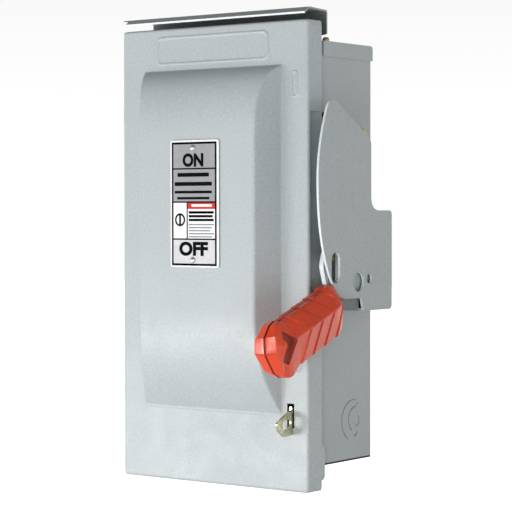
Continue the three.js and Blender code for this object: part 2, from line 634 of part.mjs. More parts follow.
function hingeJaw(x) {
  const pin = rod('x', ROTOR.y, ROTOR.z, ROTOR.pin, x - 4.5, x + 4.5, 14);
  return join(jaw(x, [ROTOR.z - 7, ROTOR.z + 7], 53, [66, ROTOR.z + 7]), pin);
}

const LUG_BACK = BASE.front - 2 * GAP - 2;

function lug(x, z) {
  const { half, deep, bore } = LUG;
  return cut(
    box(x - half, x + half, LUG_BACK - deep, LUG_BACK, z - 8, z + 8),
    rod('z', x, LUG_BACK - 6, bore, z - 9, z + 9, 16),
    rod('y', z, x, LUG.screw + 0.4, LUG_BACK - deep - 2, LUG_BACK - 6, 16),
  );
}

function lugScrew(x, z) {
  const front = LUG_BACK - LUG.deep - 1.5;
  const slot = box(x - 3, x + 3, front - 0.5, front + 1.2, z - 0.5, z + 0.5);
  return cut(rod('y', z, x, LUG.screw, front, front + 7, 16), slot);
}

function fuse(x) {
  const { y, r, top, bottom, cap } = FUSE;
  return join(
    rod('z', x, y, r - 0.4, bottom + 1, top - 1),
    rod('z', x, y, r, top - cap, top),
    rod('z', x, y, r, bottom, bottom + cap),
  );
}

function fuseClip(x, z) {
  const inner = FUSE.r + GAP;
  const [z0, z1] = [z - 4.5, z + 4.5];
  const foot = box(x - 6, x + 6, FUSE.y + inner, BASE.front - GAP, z0, z1);
  return cut(
    join(rod('z', x, FUSE.y, inner + 1.2, z0, z1, 24), foot),
    rod('z', x, FUSE.y, inner, z0 - 5, z1 + 5, 24),
    box(x - 5, x + 5, FUSE.y - 20, FUSE.y, z0 - 5, z1 + 5),
  );
}

function addPoles(parent) {
  POLES.forEach((x, i) => {
    const pole = i + 1;
    piece(parent, `line_jaw_${pole}`, jaw(x, [112, 124], 52, [108, 150]), COPPER);
    piece(parent, `hinge_jaw_${pole}`, hingeJaw(x), COPPER);
    piece(parent, `line_lug_${pole}`, lug(x, LUG.line), TINNED);
    piece(parent, `line_lug_screw_${pole}`, lugScrew(x, LUG.line), STEEL);
    piece(parent, `load_lug_${pole}`, lug(x, LUG.load), TINNED);
    piece(parent, `load_lug_screw_${pole}`, lugScrew(x, LUG.load), STEEL);
    piece(parent, `fuse_clip_upper_${pole}`, fuseClip(x, FUSE.clips[0]), COPPER);
    piece(parent, `fuse_clip_lower_${pole}`, fuseClip(x, FUSE.clips[1]), COPPER);
    piece(parent, `fuse_${pole}`, fuse(x), TUBE_PAPER);
    piece(parent, `blade_${pole}`, blade(x), COPPER);
  });
}

// A moulded block with barriers between the poles, which stand only where nothing swings past.
function insulatingBase({ bottom, top, barriersFrom }) {
  const { left, right, front, barriers, barrierDepth } = BASE;
  const block = box(left, right, front, BOX_DEPTH - SHEET - GAP, bottom, top);
  const walls = barriers.map((x) => box(x - 1, x + 1, front - barrierDepth, front + 1, barriersFrom, top));
  return join(block, ...walls);
}

// A clear shield that rests on the barriers over the line terminals.
function lineShield() {
  const back = BASE.front - BASE.barrierDepth - GAP;
  return slab('y', rectangle(128, 154, BASE.left, BASE.right, 4), back - SHEET, back, 3);
}

function groundLug() {
  const { x, z, half } = GROUND;
  const back = BOX_DEPTH - SHEET - GAP;
  const block = box(x - half, x + half, back - 14, back, z - 8, z + 8);
  const foot = box(x - 10, x + 10, back - 2, back, z - 16, z + 8);
  const bore = rod('z', x, back - 8, 3.2, z - 26, z + 24, 16);
  return cut(join(block, foot), bore, rod('y', z, x, 3, back - 16, back - 8, 16));
}

// ---- assembly ----
const model = new THREE.Group();
const layout = new THREE.Group();
layout.position.y = -BOX_DEPTH;
model.add(layout);

piece(layout, 'box_shell', boxShell(), GREY_PAINT);
piece(layout, 'top_end_cap', topEndCap(), GREY_PAINT);
piece(layout, 'bottom_end_wall', bottomEndWall(), GREY_PAINT);
piece(layout, 'rain_hood', rainHood(), GREY_PAINT);
addTopHardware(layout);
addDoor(layout);
addHinges(layout);
piece(layout, 'latch_bracket', latchBracket(), STEEL);
piece(layout, 'latch_hasp', latchHasp(), ZINC);
addGuard(layout);
addHandle(layout);
piece(layout, 'shaft_bearing', shaftBearing(), ZINC);
piece(layout, 'mechanism_frame', mechanismFrame(), ZINC);
piece(layout, 'torsion_spring', torsionSpring(), STEEL);
piece(layout, 'drive_link', driveLink(), ZINC);
piece(layout, 'crossbar', crossbar(), BLACK_PLASTIC);
piece(layout, 'line_base', insulatingBase(LINE_BASE), BLACK_PLASTIC);
piece(layout, 'fuse_base', insulatingBase(FUSE_BASE), BLACK_PLASTIC);
addPoles(layout);
piece(layout, 'line_shield', lineShield(), CLEAR);
piece(layout, 'ground_lug', groundLug(), TINNED);

export default model;
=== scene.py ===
import json
import math

import bmesh
import bpy
import numpy as np
from mathutils import Matrix, Vector


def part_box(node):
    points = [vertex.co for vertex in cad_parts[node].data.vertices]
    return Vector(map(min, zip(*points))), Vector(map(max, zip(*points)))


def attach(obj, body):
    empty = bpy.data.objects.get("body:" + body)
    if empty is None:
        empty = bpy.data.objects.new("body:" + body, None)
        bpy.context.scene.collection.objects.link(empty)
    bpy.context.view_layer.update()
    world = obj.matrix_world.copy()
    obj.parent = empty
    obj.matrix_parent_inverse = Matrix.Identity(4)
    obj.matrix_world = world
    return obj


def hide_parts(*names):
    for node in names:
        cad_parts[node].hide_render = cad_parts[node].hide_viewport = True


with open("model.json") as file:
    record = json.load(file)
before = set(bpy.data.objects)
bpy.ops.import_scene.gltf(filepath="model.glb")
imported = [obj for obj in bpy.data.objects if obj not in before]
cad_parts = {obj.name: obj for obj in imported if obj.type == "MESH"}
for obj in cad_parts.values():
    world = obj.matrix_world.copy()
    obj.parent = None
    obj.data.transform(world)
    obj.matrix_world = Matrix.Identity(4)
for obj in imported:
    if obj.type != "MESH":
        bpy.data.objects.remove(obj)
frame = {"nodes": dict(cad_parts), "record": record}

# Wall-mounted safety switch. Sizes are in millimetres behind the door's face: x to the right, y back
# towards the wall and z up, with x = 0 and z = 0 at the middle of the door. row() turns them into the
# frame's own metres, where the wall is y = 0.

MM = 0.001
NODES = frame["nodes"]
BODY_OF = {n: body for body, names in frame["record"]["behaviour"]["bodies"].items() for n in names}
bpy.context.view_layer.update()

SHEET = 1.5
GAP = 0.3
BOX_FRONT = 4                     # the side walls start this far behind the door's face
DEPTH = BOX_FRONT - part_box("box_shell")[0].y / MM


def row(points):
    return (np.array(points, float).reshape(-1, 3) - (0, DEPTH, 0)) * MM


def span(node):
    """The node's lowest and highest x, then y, then z, in millimetres behind the door's face."""
    low, high = (np.array(corner) / MM + (0, DEPTH, 0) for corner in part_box(node))
    return [value for pair in zip(low, high) for value in pair]


# ------------ materials
SOCKETS = {"roughness": "Roughness", "metallic": "Metallic", "specular": "Specular IOR Level", "ior": "IOR",
           "transmission": "Transmission Weight"}


class Tree:
    """A few short calls that build a node tree."""

    def __init__(self, owner):
        owner.use_nodes = True
        self.tree = owner.node_tree

    def add(self, kind, **settings):
        node = self.tree.nodes.new(kind)
        for key, value in settings.items():
            setattr(node, key, value)
        return node

    def link(self, source, target):
        self.tree.links.new(source, target)

    def range(self, value, low, high, start=0.3, end=0.7):
        """The value's run from start to end, turned into low to high."""
        node = self.add("ShaderNodeMapRange")
        for socket, number in zip(("From Min", "From Max", "To Min", "To Max"), (start, end, low, high)):
            node.inputs[socket].default_value = number
        self.link(value, node.inputs["Value"])
        return node.outputs["Result"]


class Graph(Tree):
    """A material's node tree, with the calls that the materials share."""

    def __init__(self, name, **sockets):
        self.material = bpy.data.materials.new(name)
        super().__init__(self.material)
        self.shader = self.tree.nodes["Principled BSDF"]
        for socket, value in sockets.items():
            self.shader.inputs[SOCKETS[socket]].default_value = value
        self.place = self.add("ShaderNodeTexCoord").outputs["Object"]

    def stretched(self, scale):
        mapping = self.add("ShaderNodeMapping")
        mapping.inputs["Scale"].default_value = scale
        self.link(self.place, mapping.inputs["Vector"])
        return mapping.outputs["Vector"]

    def noise(self, scale, detail=2.0, rough=0.5, place=None):
        node = self.add("ShaderNodeTexNoise")
        for socket, value in (("Scale", scale), ("Detail", detail), ("Roughness", rough)):
            node.inputs[socket].default_value = value
        self.link(place or self.place, node.inputs["Vector"])
        return node.outputs["Fac"]

    def ramp(self, factor, stops):
        """Colours along the factor, as (place, colour) stops."""
        node = self.add("ShaderNodeValToRGB")
        elements = node.color_ramp.elements
        while len(elements) < len(stops):
            elements.new(0.5)
        for element, (at, colour) in zip(elements, stops):
            element.position = at
            element.color = (*colour, 1)
        self.link(factor, node.inputs["Fac"])
        return node.outputs["Color"]

    def drift(self, factor, colour, darkest, lightest):
        """The colour, between two strengths of itself."""
        return self.ramp(factor, [(0.3, shade(colour, darkest)), (0.7, shade(colour, lightest))])

    def mix(self, factor, a, b, blend="MIX"):
        node = self.add("ShaderNodeMix", data_type="RGBA", blend_type=blend)
        for socket, value in zip((node.inputs[0], node.inputs[6], node.inputs[7]), (factor, a, b)):
            if isinstance(value, float):
                socket.default_value = value
            elif isinstance(value, tuple):
                socket.default_value = (*value, 1)
            else:
                self.link(value, socket)
        return node.outputs[2]

    def bump(self, *layers):
        """Each layer is (height output, strength, distance in metres)."""
        last = None
        for height, strength, distance in layers:
            node = self.add("ShaderNodeBump")
            node.inputs["Strength"].default_value = strength
            node.inputs["Distance"].default_value = distance
            self.link(height, node.inputs["Height"])
            if last:
                self.link(last, node.inputs["Normal"])
            last = node.outputs["Normal"]
        self.link(last, self.shader.inputs["Normal"])

    def colour(self, output):
        self.link(output, self.shader.inputs["Base Color"])

    def roughness(self, output):
        self.link(output, self.shader.inputs["Roughness"])


WHITE = (1.0, 1.0, 1.0)


def shade(colour, factor):
    return tuple(min(1.0, c * factor) for c in colour)


def painted(name, colour, roughness=0.4):
    """Baked enamel on sheet steel: fine orange peel, faint clouding and a few dull patches."""
    g = Graph(name, specular=0.5)
    cloud = g.drift(g.noise(9, 3), colour, 0.965, 1.03)
    grain = g.drift(g.noise(620, 3, 0.65), WHITE, 0.75, 1)
    g.colour(g.mix(0.8, cloud, grain, "MULTIPLY"))
    g.roughness(g.range(g.noise(38, 4, 0.6), roughness - 0.05, roughness + 0.07))
    g.bump((g.noise(560, 2), 0.22, 0.0002), (g.noise(60, 2), 0.05, 0.0006))
    return g.material


def plated(name, tints, roughness=0.32, scale=70):
    """Plated steel, whose film drifts between tints over a faintly brushed surface."""
    g = Graph(name, metallic=1.0)
    film = g.noise(scale, 4, 0.65)
    places = np.linspace(0.3, 0.7, len(tints))
    g.colour(g.ramp(film, list(zip(places, tints))))
    g.roughness(g.range(g.noise(260, 3, 0.6), roughness - 0.09, roughness + 0.14))
    brushed = g.noise(90, 3, 0.7, g.stretched((1, 18, 1)))
    g.bump((brushed, 0.12, 0.0001), (g.noise(900, 2), 0.08, 0.0001))
    return g.material


def moulded(name, colour, roughness=0.36, sheen=0.45):
    """Moulded plastic: even colour with flow marks, fine texture and a few scuffs."""
    g = Graph(name, specular=sheen)
    flow = g.noise(55, 5, 0.6, g.stretched((1, 0.45, 1)))
    base = g.drift(flow, colour, 0.93, 1.05)
    scuff = g.ramp(g.noise(420, 5, 0.7), [(0.62, shade(WHITE, 0)), (0.74, WHITE)])
    g.colour(g.mix(0.12, base, g.mix(scuff, base, shade(colour, 1.5))))
    g.roughness(g.range(g.noise(130, 5, 0.65), roughness - 0.06, roughness + 0.1))
    g.bump((g.noise(1500, 2), 0.10, 0.0001), (g.noise(90, 3), 0.06, 0.0004))
    return g.material


def printed(name, colour, roughness=0.55, sheen=0.22):
    """Ink on a laminated label."""
    g = Graph(name, specular=sheen)
    g.colour(g.drift(g.noise(240, 4), colour, 0.94, 1.04))
    g.roughness(g.range(g.noise(90, 3), roughness - 0.06, roughness + 0.08))
    g.bump((g.noise(700, 2), 0.05, 0.0001))
    return g.material


GREY = (0.434, 0.476, 0.485)
PAINT = painted("grey_enamel", GREY)
# Painted shade: the shell's enamel is the door's grey made darker, for the box, its end walls, the guard and
# the kept grey parts.
PAINT_SIDE_SHADE = painted("grey_enamel_shell_painted_shade", shade(GREY, 0.92), 0.46)
# Painted highlight: the edge enamel is the grey made lighter, for cut edges that catch the light.
PAINT_EDGE_HIGHLIGHT = painted("grey_enamel_painted_edge_highlight", shade(GREY, 1.55), 0.4)
# Painted shade: the hood's enamel is the grey made darker, to tone down its top that faces the sky.
PAINT_HOOD_SHADE = painted("grey_enamel_hood_painted_shade", shade(GREY, 0.66))
# Painted shade: the darkest copy of the grey, for the hood's underside and web and for the sheet behind the
# guard's notch.
PAINT_SHADED = painted("grey_enamel_painted_shade", shade(GREY, 0.42), 0.5)
ZINC_TINTS = [(0.34, 0.26, 0.09), (0.55, 0.44, 0.18), (0.44, 0.42, 0.22), (0.58, 0.42, 0.22)]
PALE_ZINC_TINTS = [(0.40, 0.39, 0.22), (0.64, 0.62, 0.40), (0.80, 0.78, 0.58)]
ZINC = plated("yellow_zinc", ZINC_TINTS)
HASP_ZINC = plated("hasp_zinc", PALE_ZINC_TINTS, 0.26, 150)
STEEL = plated("bright_steel", [(0.58, 0.58, 0.57), (0.72, 0.72, 0.71)], 0.28)
COPPER = plated("copper_alloy", [(0.74, 0.40, 0.24), (0.85, 0.52, 0.33), (0.70, 0.42, 0.30)], 0.30)
TINNED = plated("tinned_aluminium", [(0.68, 0.68, 0.69), (0.82, 0.82, 0.82)], 0.38)
RED = moulded("red_plastic", (0.66, 0.054, 0.011), 0.24, 0.5)
# Painted shade: darker red for the shade inside the arrow recess on the grip.
RED_RECESS_SHADE = moulded("red_plastic_recess_painted_shade", (0.30, 0.055, 0.035), 0.5, 0.2)
# Painted shade: darker red for the shade in the creases in front of each scale.
RED_CREASE_SHADE = moulded("red_plastic_crease_painted_shade", (0.37, 0.035, 0.011), 0.5, 0.2)
# Painted shade: near-black red for the shade in the parting groove at the nose.
RED_SEAM_SHADE = moulded("red_plastic_seam_painted_shade", (0.13, 0.014, 0.006), 0.5, 0.2)
BLACK = moulded("black_plastic", (0.022, 0.023, 0.025), 0.42)
FUSE_PAPER = printed("fuse_tube_paper", (0.06, 0.17, 0.34), 0.6)
# Painted shade: a near-black material for the bottom wall's side edges, standing for the shadow gap under the
# side walls.
PAINTED_GAP_SHADE = moulded("dark_painted_gap_shade", (0.03, 0.03, 0.032), 0.7, 0.3)
LABEL_WHITE = printed("label_white", (0.78, 0.79, 0.79))
LABEL_GREY = printed("label_grey", (0.30, 0.31, 0.325))
LABEL_PALE = printed("label_pale", (0.58, 0.59, 0.61))
LABEL_BLACK = printed("label_black", (0.002, 0.002, 0.0022), 0.7, 0.06)
LABEL_SOFT = printed("label_soft_ink", (0.20, 0.205, 0.215), 0.5)
LABEL_RED = printed("label_red", (0.55, 0.03, 0.022))


def clear_plastic():
    g = Graph("clear_plastic", transmission=0.9, ior=1.45)
    g.colour(g.ramp(g.noise(40, 3), [(0.3, (0.86, 0.9, 0.9)), (0.7, (0.92, 0.95, 0.95))]))
    g.roughness(g.range(g.noise(300, 4), 0.06, 0.2))
    g.bump((g.noise(150, 2), 0.05, 0.0002))
    return g.material


CLEAR = clear_plastic()


# ------------ mesh tools
def put(name, data):
    obj = bpy.data.objects.new(name, data)
    bpy.context.scene.collection.objects.link(obj)
    return obj


def mesh_object(name, points, faces, material=None):
    mesh = bpy.data.meshes.new(name)
    mesh.from_pydata([tuple(p) for p in row(points)], [], faces)
    mesh.validate()
    if material:
        mesh.materials.append(material)
    return put(name, mesh)


def face_out(obj):
    """Turns every face outwards, and drops the points that no face uses."""
    bm = bmesh.new()
    bm.from_mesh(obj.data)
    bmesh.ops.delete(bm, geom=[v for v in bm.verts if not v.link_faces], context="VERTS")
    bmesh.ops.recalc_face_normals(bm, faces=bm.faces)
    bm.to_mesh(obj.data)
    bm.free()
    return obj


def arc(start, corner, end, steps):
    """Points of the curve that leaves start and reaches end along the lines to the corner."""
    shares = np.linspace(0, 1, steps + 1)
    return [(1 - t) ** 2 * start + 2 * t * (1 - t) * corner + t * t * end for t in shares]


def rounded(corners, steps=6):
    """Points round a closed outline of corners (u, v, radius)."""
    points = []
    for i, corner in enumerate(corners):
        here = np.array(corner[:2], float)
        radius = corner[2] if len(corner) > 2 else 0
        if not radius:
            points.append(here)
            continue
        before = np.array(corners[i - 1][:2]) - here
        after = np.array(corners[(i + 1) % len(corners)][:2]) - here
        reach = min(radius, 0.45 * np.hypot(*before), 0.45 * np.hypot(*after))
        start = here + before / np.hypot(*before) * reach
        end = here + after / np.hypot(*after) * reach
        points += arc(start, here, end, steps)
    return np.array(points)


def curve_points(start, *pieces, steps=18):
    """An outline of straight lines (u, v) and Bezier pieces ((control...), end)."""
    points = [np.array(start, float)]
    for piece in pieces:
        if not isinstance(piece[0], tuple):      # a straight line's end, not a curve's controls
            points.append(np.array(piece, float))
            continue
        knots = [points[-1], *(np.array(p, float) for p in piece)]
        order = len(knots) - 1
        for t in np.linspace(0, 1, steps + 1)[1:]:
            terms = (math.comb(order, k) * (1 - t) ** (order - k) * t ** k * p for k, p in enumerate(knots))
            points.append(sum(terms))
    return np.array(points)


def circle(u, v, radius, steps=40, start=0.0, turn=360.0):
    angles = np.radians(start + np.linspace(0, turn, steps, endpoint=turn < 360))
    return np.stack([u + radius * np.cos(angles), v + radius * np.sin(angles)], 1)


def obround(u, v, width, length, steps=16):
    """Long in v."""
    r, reach = width / 2, (length - width) / 2
    top = circle(u, v + reach, r, steps, 0, 180)
    return np.vstack([top, circle(u, v - reach, r, steps, 180, 180)])


def rectangle(u0, u1, v0, v1, r=0):
    return rounded([(u0, v0, r), (u1, v0, r), (u1, v1, r), (u0, v1, r)])


COLUMNS = {"x": (2, 0, 1), "y": (0, 2, 1), "z": (0, 1, 2)}   # where x, y and z stand in (u, v, along)


def placed(axis, flat, along):
    """Points (u, v) at a place along an axis: (u, v) are (y, z) for x, (x, z) for y, (x, y) for z."""
    return np.column_stack([flat, np.full(len(flat), float(along))])[:, COLUMNS[axis]]


def prism(name, axis, flat, low, high, material=None):
    """A closed outline pushed from low to high along an axis."""
    n = len(flat)
    points = np.vstack([placed(axis, flat, low), placed(axis, flat, high)])
    faces = [list(range(n))[::-1], [n + i for i in range(n)]]
    faces += [[i, (i + 1) % n, n + (i + 1) % n, n + i] for i in range(n)]
    return face_out(mesh_object(name, points, faces, material))


def lofted(name, rings, material):
    """Closed rings of points, each joined to the next, with a face over each end."""
    n = len(rings[0])
    last = (len(rings) - 1) * n
    faces = []
    for k in range(0, last, n):
        faces += [[k + i, k + (i + 1) % n, k + n + (i + 1) % n, k + n + i] for i in range(n)]
    faces += [list(range(n)), [last + i for i in range(n)]]
    return face_out(mesh_object(name, np.vstack(rings), faces, material))


def punch(axis, flat, at, reach=5):
    """A cutter through a sheet that lies at this place across the axis."""
    return prism("punch", axis, flat, at - reach, at + reach)


def block(name, x0, x1, y0, y1, z0, z1, material=None):
    return prism(name, "z", rectangle(x0, x1, y0, y1), z0, z1, material)


def turned(name, profile, origin, axis, material=None, steps=40):
    """A profile of (radius, height), from radius 0 to radius 0, turned about an axis through the origin."""
    direction = np.array(axis, float) / np.linalg.norm(axis)
    side = np.cross(direction, (0, 0, 1) if abs(direction[2]) < 0.9 else (1, 0, 0))
    side /= np.linalg.norm(side)
    other = np.cross(direction, side)
    points, rings = [], []
    for radius, height in profile:
        centre = np.array(origin, float) + direction * height
        if radius < 1e-6:
            rings.append([len(points)] * steps)
            points.append(centre)
            continue
        rings.append(list(range(len(points), len(points) + steps)))
        for angle in np.linspace(0, 2 * math.pi, steps, endpoint=False):
            points.append(centre + radius * (math.cos(angle) * side + math.sin(angle) * other))
    faces = []
    for lower, upper in zip(rings, rings[1:]):
        for i in range(steps):
            j = (i + 1) % steps
            faces.append(list(dict.fromkeys([lower[i], lower[j], upper[j], upper[i]])))
    return face_out(mesh_object(name, points, [f for f in faces if len(f) > 2], material))


def evaluated_mesh(obj):
    """What the object's modifiers, or its text, make of it."""
    bpy.context.view_layer.update()
    return bpy.data.meshes.new_from_object(obj.evaluated_get(bpy.context.evaluated_depsgraph_get()))


def applied(obj):
    mesh = evaluated_mesh(obj)
    obj.modifiers.clear()
    obj.data = mesh
    return obj


def carve(obj, *others, operation="DIFFERENCE"):
    """Cuts the other objects out of the first, whose cut faces take their materials."""
    for other in others:
        modifier = obj.modifiers.new("cut", "BOOLEAN")
        modifier.operation = operation
        modifier.solver = "EXACT"
        modifier.material_mode = "TRANSFER"
        modifier.object = other
        applied(obj)
        bpy.data.objects.remove(other)
    return obj


def weld(obj, *others):
    return carve(obj, *others, operation="UNION")


def dissolve(obj, angle):
    modifier = obj.modifiers.new("flat", "DECIMATE")
    modifier.decimate_type = "DISSOLVE"
    modifier.angle_limit = math.radians(angle)
    return obj


def flat_faces_joined(obj):
    return applied(dissolve(obj, 0.4))


def soften(obj, width, segments=2, angle=35):
    """Rounds the edges, with the flat faces left flat."""
    obj.data.shade_smooth()
    bevel = obj.modifiers.new("edges", "BEVEL")
    bevel.width = width * MM
    bevel.segments = segments
    bevel.limit_method = "ANGLE"
    bevel.angle_limit = math.radians(angle)
    bevel.miter_outer = "MITER_ARC"
    normals = obj.modifiers.new("normals", "WEIGHTED_NORMAL")
    normals.keep_sharp = True
    return obj


def crisp(obj, angle=32):
    """Smooth shading that breaks at edges sharper than the angle."""
    obj.data.shade_smooth()
    obj.data.set_sharp_from_angle(angle=math.radians(angle))
    return obj


def repaint(obj, material, picked):
    """Gives another material to the faces whose normal, and middle in the frame's millimetres, are picked."""
    obj.data.materials.append(material)
    for polygon in obj.data.polygons:
        if picked(polygon.normal, polygon.center / MM):
            polygon.material_index = len(obj.data.materials) - 1
    return obj


def rides_with(obj, cad_node):
    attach(obj, BODY_OF[cad_node])
    return obj


def stands_for(obj, cad_node):
    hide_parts(cad_node)
    return rides_with(obj, cad_node)


# ------------ door
DOOR = span("door_panel")
HALF_W, HALF_H = DOOR[1], 190.5
PANEL = {"left": -72, "right": 71, "top": 155, "bottom": -131.0, "rise": 23, "draft": 11.5}
FLANGE = 18.6                     # how far the door's edges fold back
FOLD = 2.2                        # outside radius of those folds
NOTCH = {"bottom": -36, "top": 117, "back": 2.6}
TAB = {"bottom": -182, "top": -154, "back": DOOR[3]}
SLOT = {"x": (76.1, 83.3), "z": (-138.7, -118.9)}
MARKS = {"at": ((84, 139, 6.4), (86, -83, 10.5)), "length": 21.5, "rim": 1.5}   # x, z, width
PLAQUE = {"x": -1, "z": 171.5, "half": (58, 11), "corner": 5, "rim": 2.6}
EMBOSS = 0.6
FOOT_BEAD = 0.4                   # a slight bead where the raised panel meets the flat of the door


def panel_side():
    """Heights of the raised panel up the middle of the door, as (z, height)."""
    rise, top, bottom = PANEL["rise"], PANEL["top"], PANEL["bottom"]
    crown = [(top - 4, rise * 0.58), (top - 18, rise), (top - 58, rise)]
    foot = [(-98, rise * 0.98), (bottom, -2)]
    line = np.vstack([curve_points((top, -2), crown, steps=60), curve_points((-45, rise), foot, steps=60)])
    return line[np.argsort(line[:, 0])]


def smooth_least(a, b, reach):
    """The lesser of a and b, blended where they are within reach of each other."""
    near = np.clip(reach - np.abs(a - b), 0, None) / reach
    return np.minimum(a, b) - near ** 2 * reach / 4


def smooth_most(a, b, reach):
    return -smooth_least(-a, -b, reach)


def ridge(distance, rim, rise):
    """An embossed line: full height near its middle, rounded off at its sides."""
    return rise * np.clip(1.25 - (2 * np.abs(distance) / rim) ** 2, 0, 1)


def outside_of_box(x, z, cx, cz, half_x, half_z, corner):
    """Distance from a box with rounded corners, less than nothing inside it."""
    dx = np.abs(x - cx) - (half_x - corner)
    dz = np.abs(z - cz) - (half_z - corner)
    beyond = np.hypot(np.clip(dx, 0, None), np.clip(dz, 0, None))
    return beyond + np.minimum(np.maximum(dx, dz), 0) - corner


def door_height(x, z):
    """How far the door stands out of its plane: the raised panel, the two marks and the plaque's border."""
    side = panel_side()
    lengthways = np.interp(z, side[:, 0], side[:, 1])
    slope = PANEL["rise"] / PANEL["draft"]
    across = np.minimum((x - PANEL["left"]) * slope, (PANEL["right"] - x) * slope)
    across = smooth_least(across, np.full_like(x, PANEL["rise"]), 4.0)
    pressed = smooth_least(lengthways, across + 1.0, 2.2)
    height = np.minimum(smooth_most(pressed, np.zeros_like(x), 0.9), PANEL["rise"])
    height = height + FOOT_BEAD * np.exp(-((pressed + 0.5) / 0.7) ** 2)
    for x_mark, z_mark, width in MARKS["at"]:
        half = (width / 2 - MARKS["rim"] / 2, MARKS["length"] / 2 - MARKS["rim"] / 2)
        edge = outside_of_box(x, z, x_mark, z_mark, *half, half[0])
        height = height + ridge(edge, MARKS["rim"], EMBOSS)
    edge = outside_of_box(x, z, PLAQUE["x"], PLAQUE["z"], *PLAQUE["half"], PLAQUE["corner"])
    return height + ridge(edge, PLAQUE["rim"], EMBOSS)


def grid_lines(low, high, exact, bands, coarse=3.0):
    """Grid lines from low to high: the exact ones, finer ones in bands (from, to, step), and coarse ones."""
    wanted = [*exact, low, high]
    for start, end, step in bands:
        wanted += list(np.arange(start, end + step / 2, step))
    wanted += list(np.arange(low, high, coarse))
    fixed = np.unique([*exact, low, high])
    kept = list(fixed)
    for value in sorted(wanted):
        if low < value < high and min(abs(value - k) for k in kept) > 0.28:
            kept.append(value)
    return np.unique(kept)


def around(middle, reach, step):
    return middle - reach, middle + reach, step


def door_grid():
    left, right, draft = PANEL["left"], PANEL["right"], PANEL["draft"]
    w, h = HALF_W - FOLD, HALF_H - FOLD
    mark_from, mark_to = (MARKS["at"][-1][0] + side * (MARKS["at"][-1][2] / 2 + 1) for side in (-1, 1))
    across = [(left - 2, left + draft + 5, 0.7), (right - draft - 5, right + 2, 0.7),
              (mark_from, mark_to, 0.45), (w - 3, w, 0.75), (-w, -w + 3, 0.75)]
    along = [(PANEL["top"] - 30, PANEL["top"] + 2, 0.7), (-135, -126, 0.6), (-126, -45, 1.6),
             (h - 3, h, 0.75), (-h, -h + 3, 0.75),
             (TAB["bottom"], TAB["bottom"] + 4, 0.8), (TAB["top"] - 4, TAB["top"], 0.8)]
    for side in (-1, 1):
        across.append(around(PLAQUE["x"] + side * PLAQUE["half"][0], 5, 0.7))
        along += [around(z + side * MARKS["length"] / 2, 3, 0.5) for _, z, _ in MARKS["at"]]
        along.append(around(PLAQUE["z"] + side * PLAQUE["half"][1], 5.5, 0.5))
    xs = grid_lines(-w, w, SLOT["x"], across)
    zs = grid_lines(-h, h, [*SLOT["z"], NOTCH["bottom"], NOTCH["top"], TAB["bottom"], TAB["top"]], along)
    return xs, zs


def make_door():
    """One sheet: the pressed front as a grid, its edges folded back as rings round it, then its thickness."""
    xs, zs = door_grid()
    nx, nz = len(xs), len(zs)
    gx, gz = np.meshgrid(xs, zs)
    front = -door_height(gx, gz)
    points = [np.column_stack([gx.ravel(), front.ravel(), gz.ravel()])]

    def in_slot(i, j):
        x, z = (xs[i] + xs[i + 1]) / 2, (zs[j] + zs[j + 1]) / 2
        return SLOT["x"][0] < x < SLOT["x"][1] and SLOT["z"][0] < z < SLOT["z"][1]

    cells = [(i, j) for j in range(nz - 1) for i in range(nx - 1) if not in_slot(i, j)]
    faces = [[j * nx + i, j * nx + i + 1, (j + 1) * nx + i + 1, (j + 1) * nx + i] for i, j in cells]
    rim = list(range(nx))
    rim += [j * nx + nx - 1 for j in range(1, nz)]
    rim += [(nz - 1) * nx + i for i in range(nx - 2, -1, -1)]
    rim += [j * nx for j in range(nz - 2, 0, -1)]
    base = points[0][rim]
    outward = np.array([edge_direction(x, z) for x, _, z in base])
    rings = [(FOLD * math.sin(a), FOLD * (1 - math.cos(a))) for a in np.radians([18, 36, 54, 72, 90])]
    rings += [(FOLD, NOTCH["back"]), (FOLD, FLANGE), (FOLD, TAB["back"])]
    count, ring_start, last = len(rim), nx * nz, rim
    for k, (out, back) in enumerate(rings):
        ring = base.copy()
        ring[:, (0, 2)] += outward * out
        ring[:, 1] = tab_reach(ring[:, 2]) if k == len(rings) - 1 else back
        points.append(ring)
        now = list(range(ring_start, ring_start + count))
        for i in range(count):
            j = (i + 1) % count
            if wall_stands(k, len(rings), (base[i] + base[j]) / 2):
                faces.append([last[i], now[i], now[j], last[j]][::-1])
        last, ring_start = now, ring_start + count
    door = face_out(mesh_object("door_skin", np.vstack(points), faces, PAINT))
    shell = door.modifiers.new("sheet", "SOLIDIFY")
    shell.thickness = SHEET * MM
    shell.offset = -1
    shell.use_even_offset = True
    return crisp(applied(door), 38)


def edge_direction(x, z, corner=3.0):
    """Which way, as (x, z), the door's edge faces here; it turns smoothly through the corners."""
    over_x = abs(x) - (HALF_W - FOLD - corner)
    over_z = abs(z) - (HALF_H - FOLD - corner)
    turn = np.array([max(over_x, 0.0), max(over_z, 0.0)])
    if abs(x) >= HALF_W - FOLD - 1e-6 and over_z <= 0:
        turn = np.array([1.0, 0.0])
    if abs(z) >= HALF_H - FOLD - 1e-6 and over_x <= 0:
        turn = np.array([0.0, 1.0])
    turn = turn / np.linalg.norm(turn)
    return turn * np.sign([x, z])


def wall_stands(ring, rings, middle):
    """Whether the door's edge reaches from one ring to the next at this place."""
    x, _, z = middle
    right = x > HALF_W - FOLD - 1e-3
    if ring == rings - 2:
        return not (right and NOTCH["bottom"] < z < NOTCH["top"])
    if ring == rings - 1:
        return right and TAB["bottom"] < z < TAB["top"]
    return True


def tab_reach(z):
    """How far back the door's edge goes at the lower right, where a tab with rounded corners stands."""
    from_end = np.clip(np.minimum(z - TAB["bottom"], TAB["top"] - z) / 4, 0, 1)
    return FLANGE + (TAB["back"] - FLANGE) * np.sqrt(1 - (1 - from_end) ** 2)


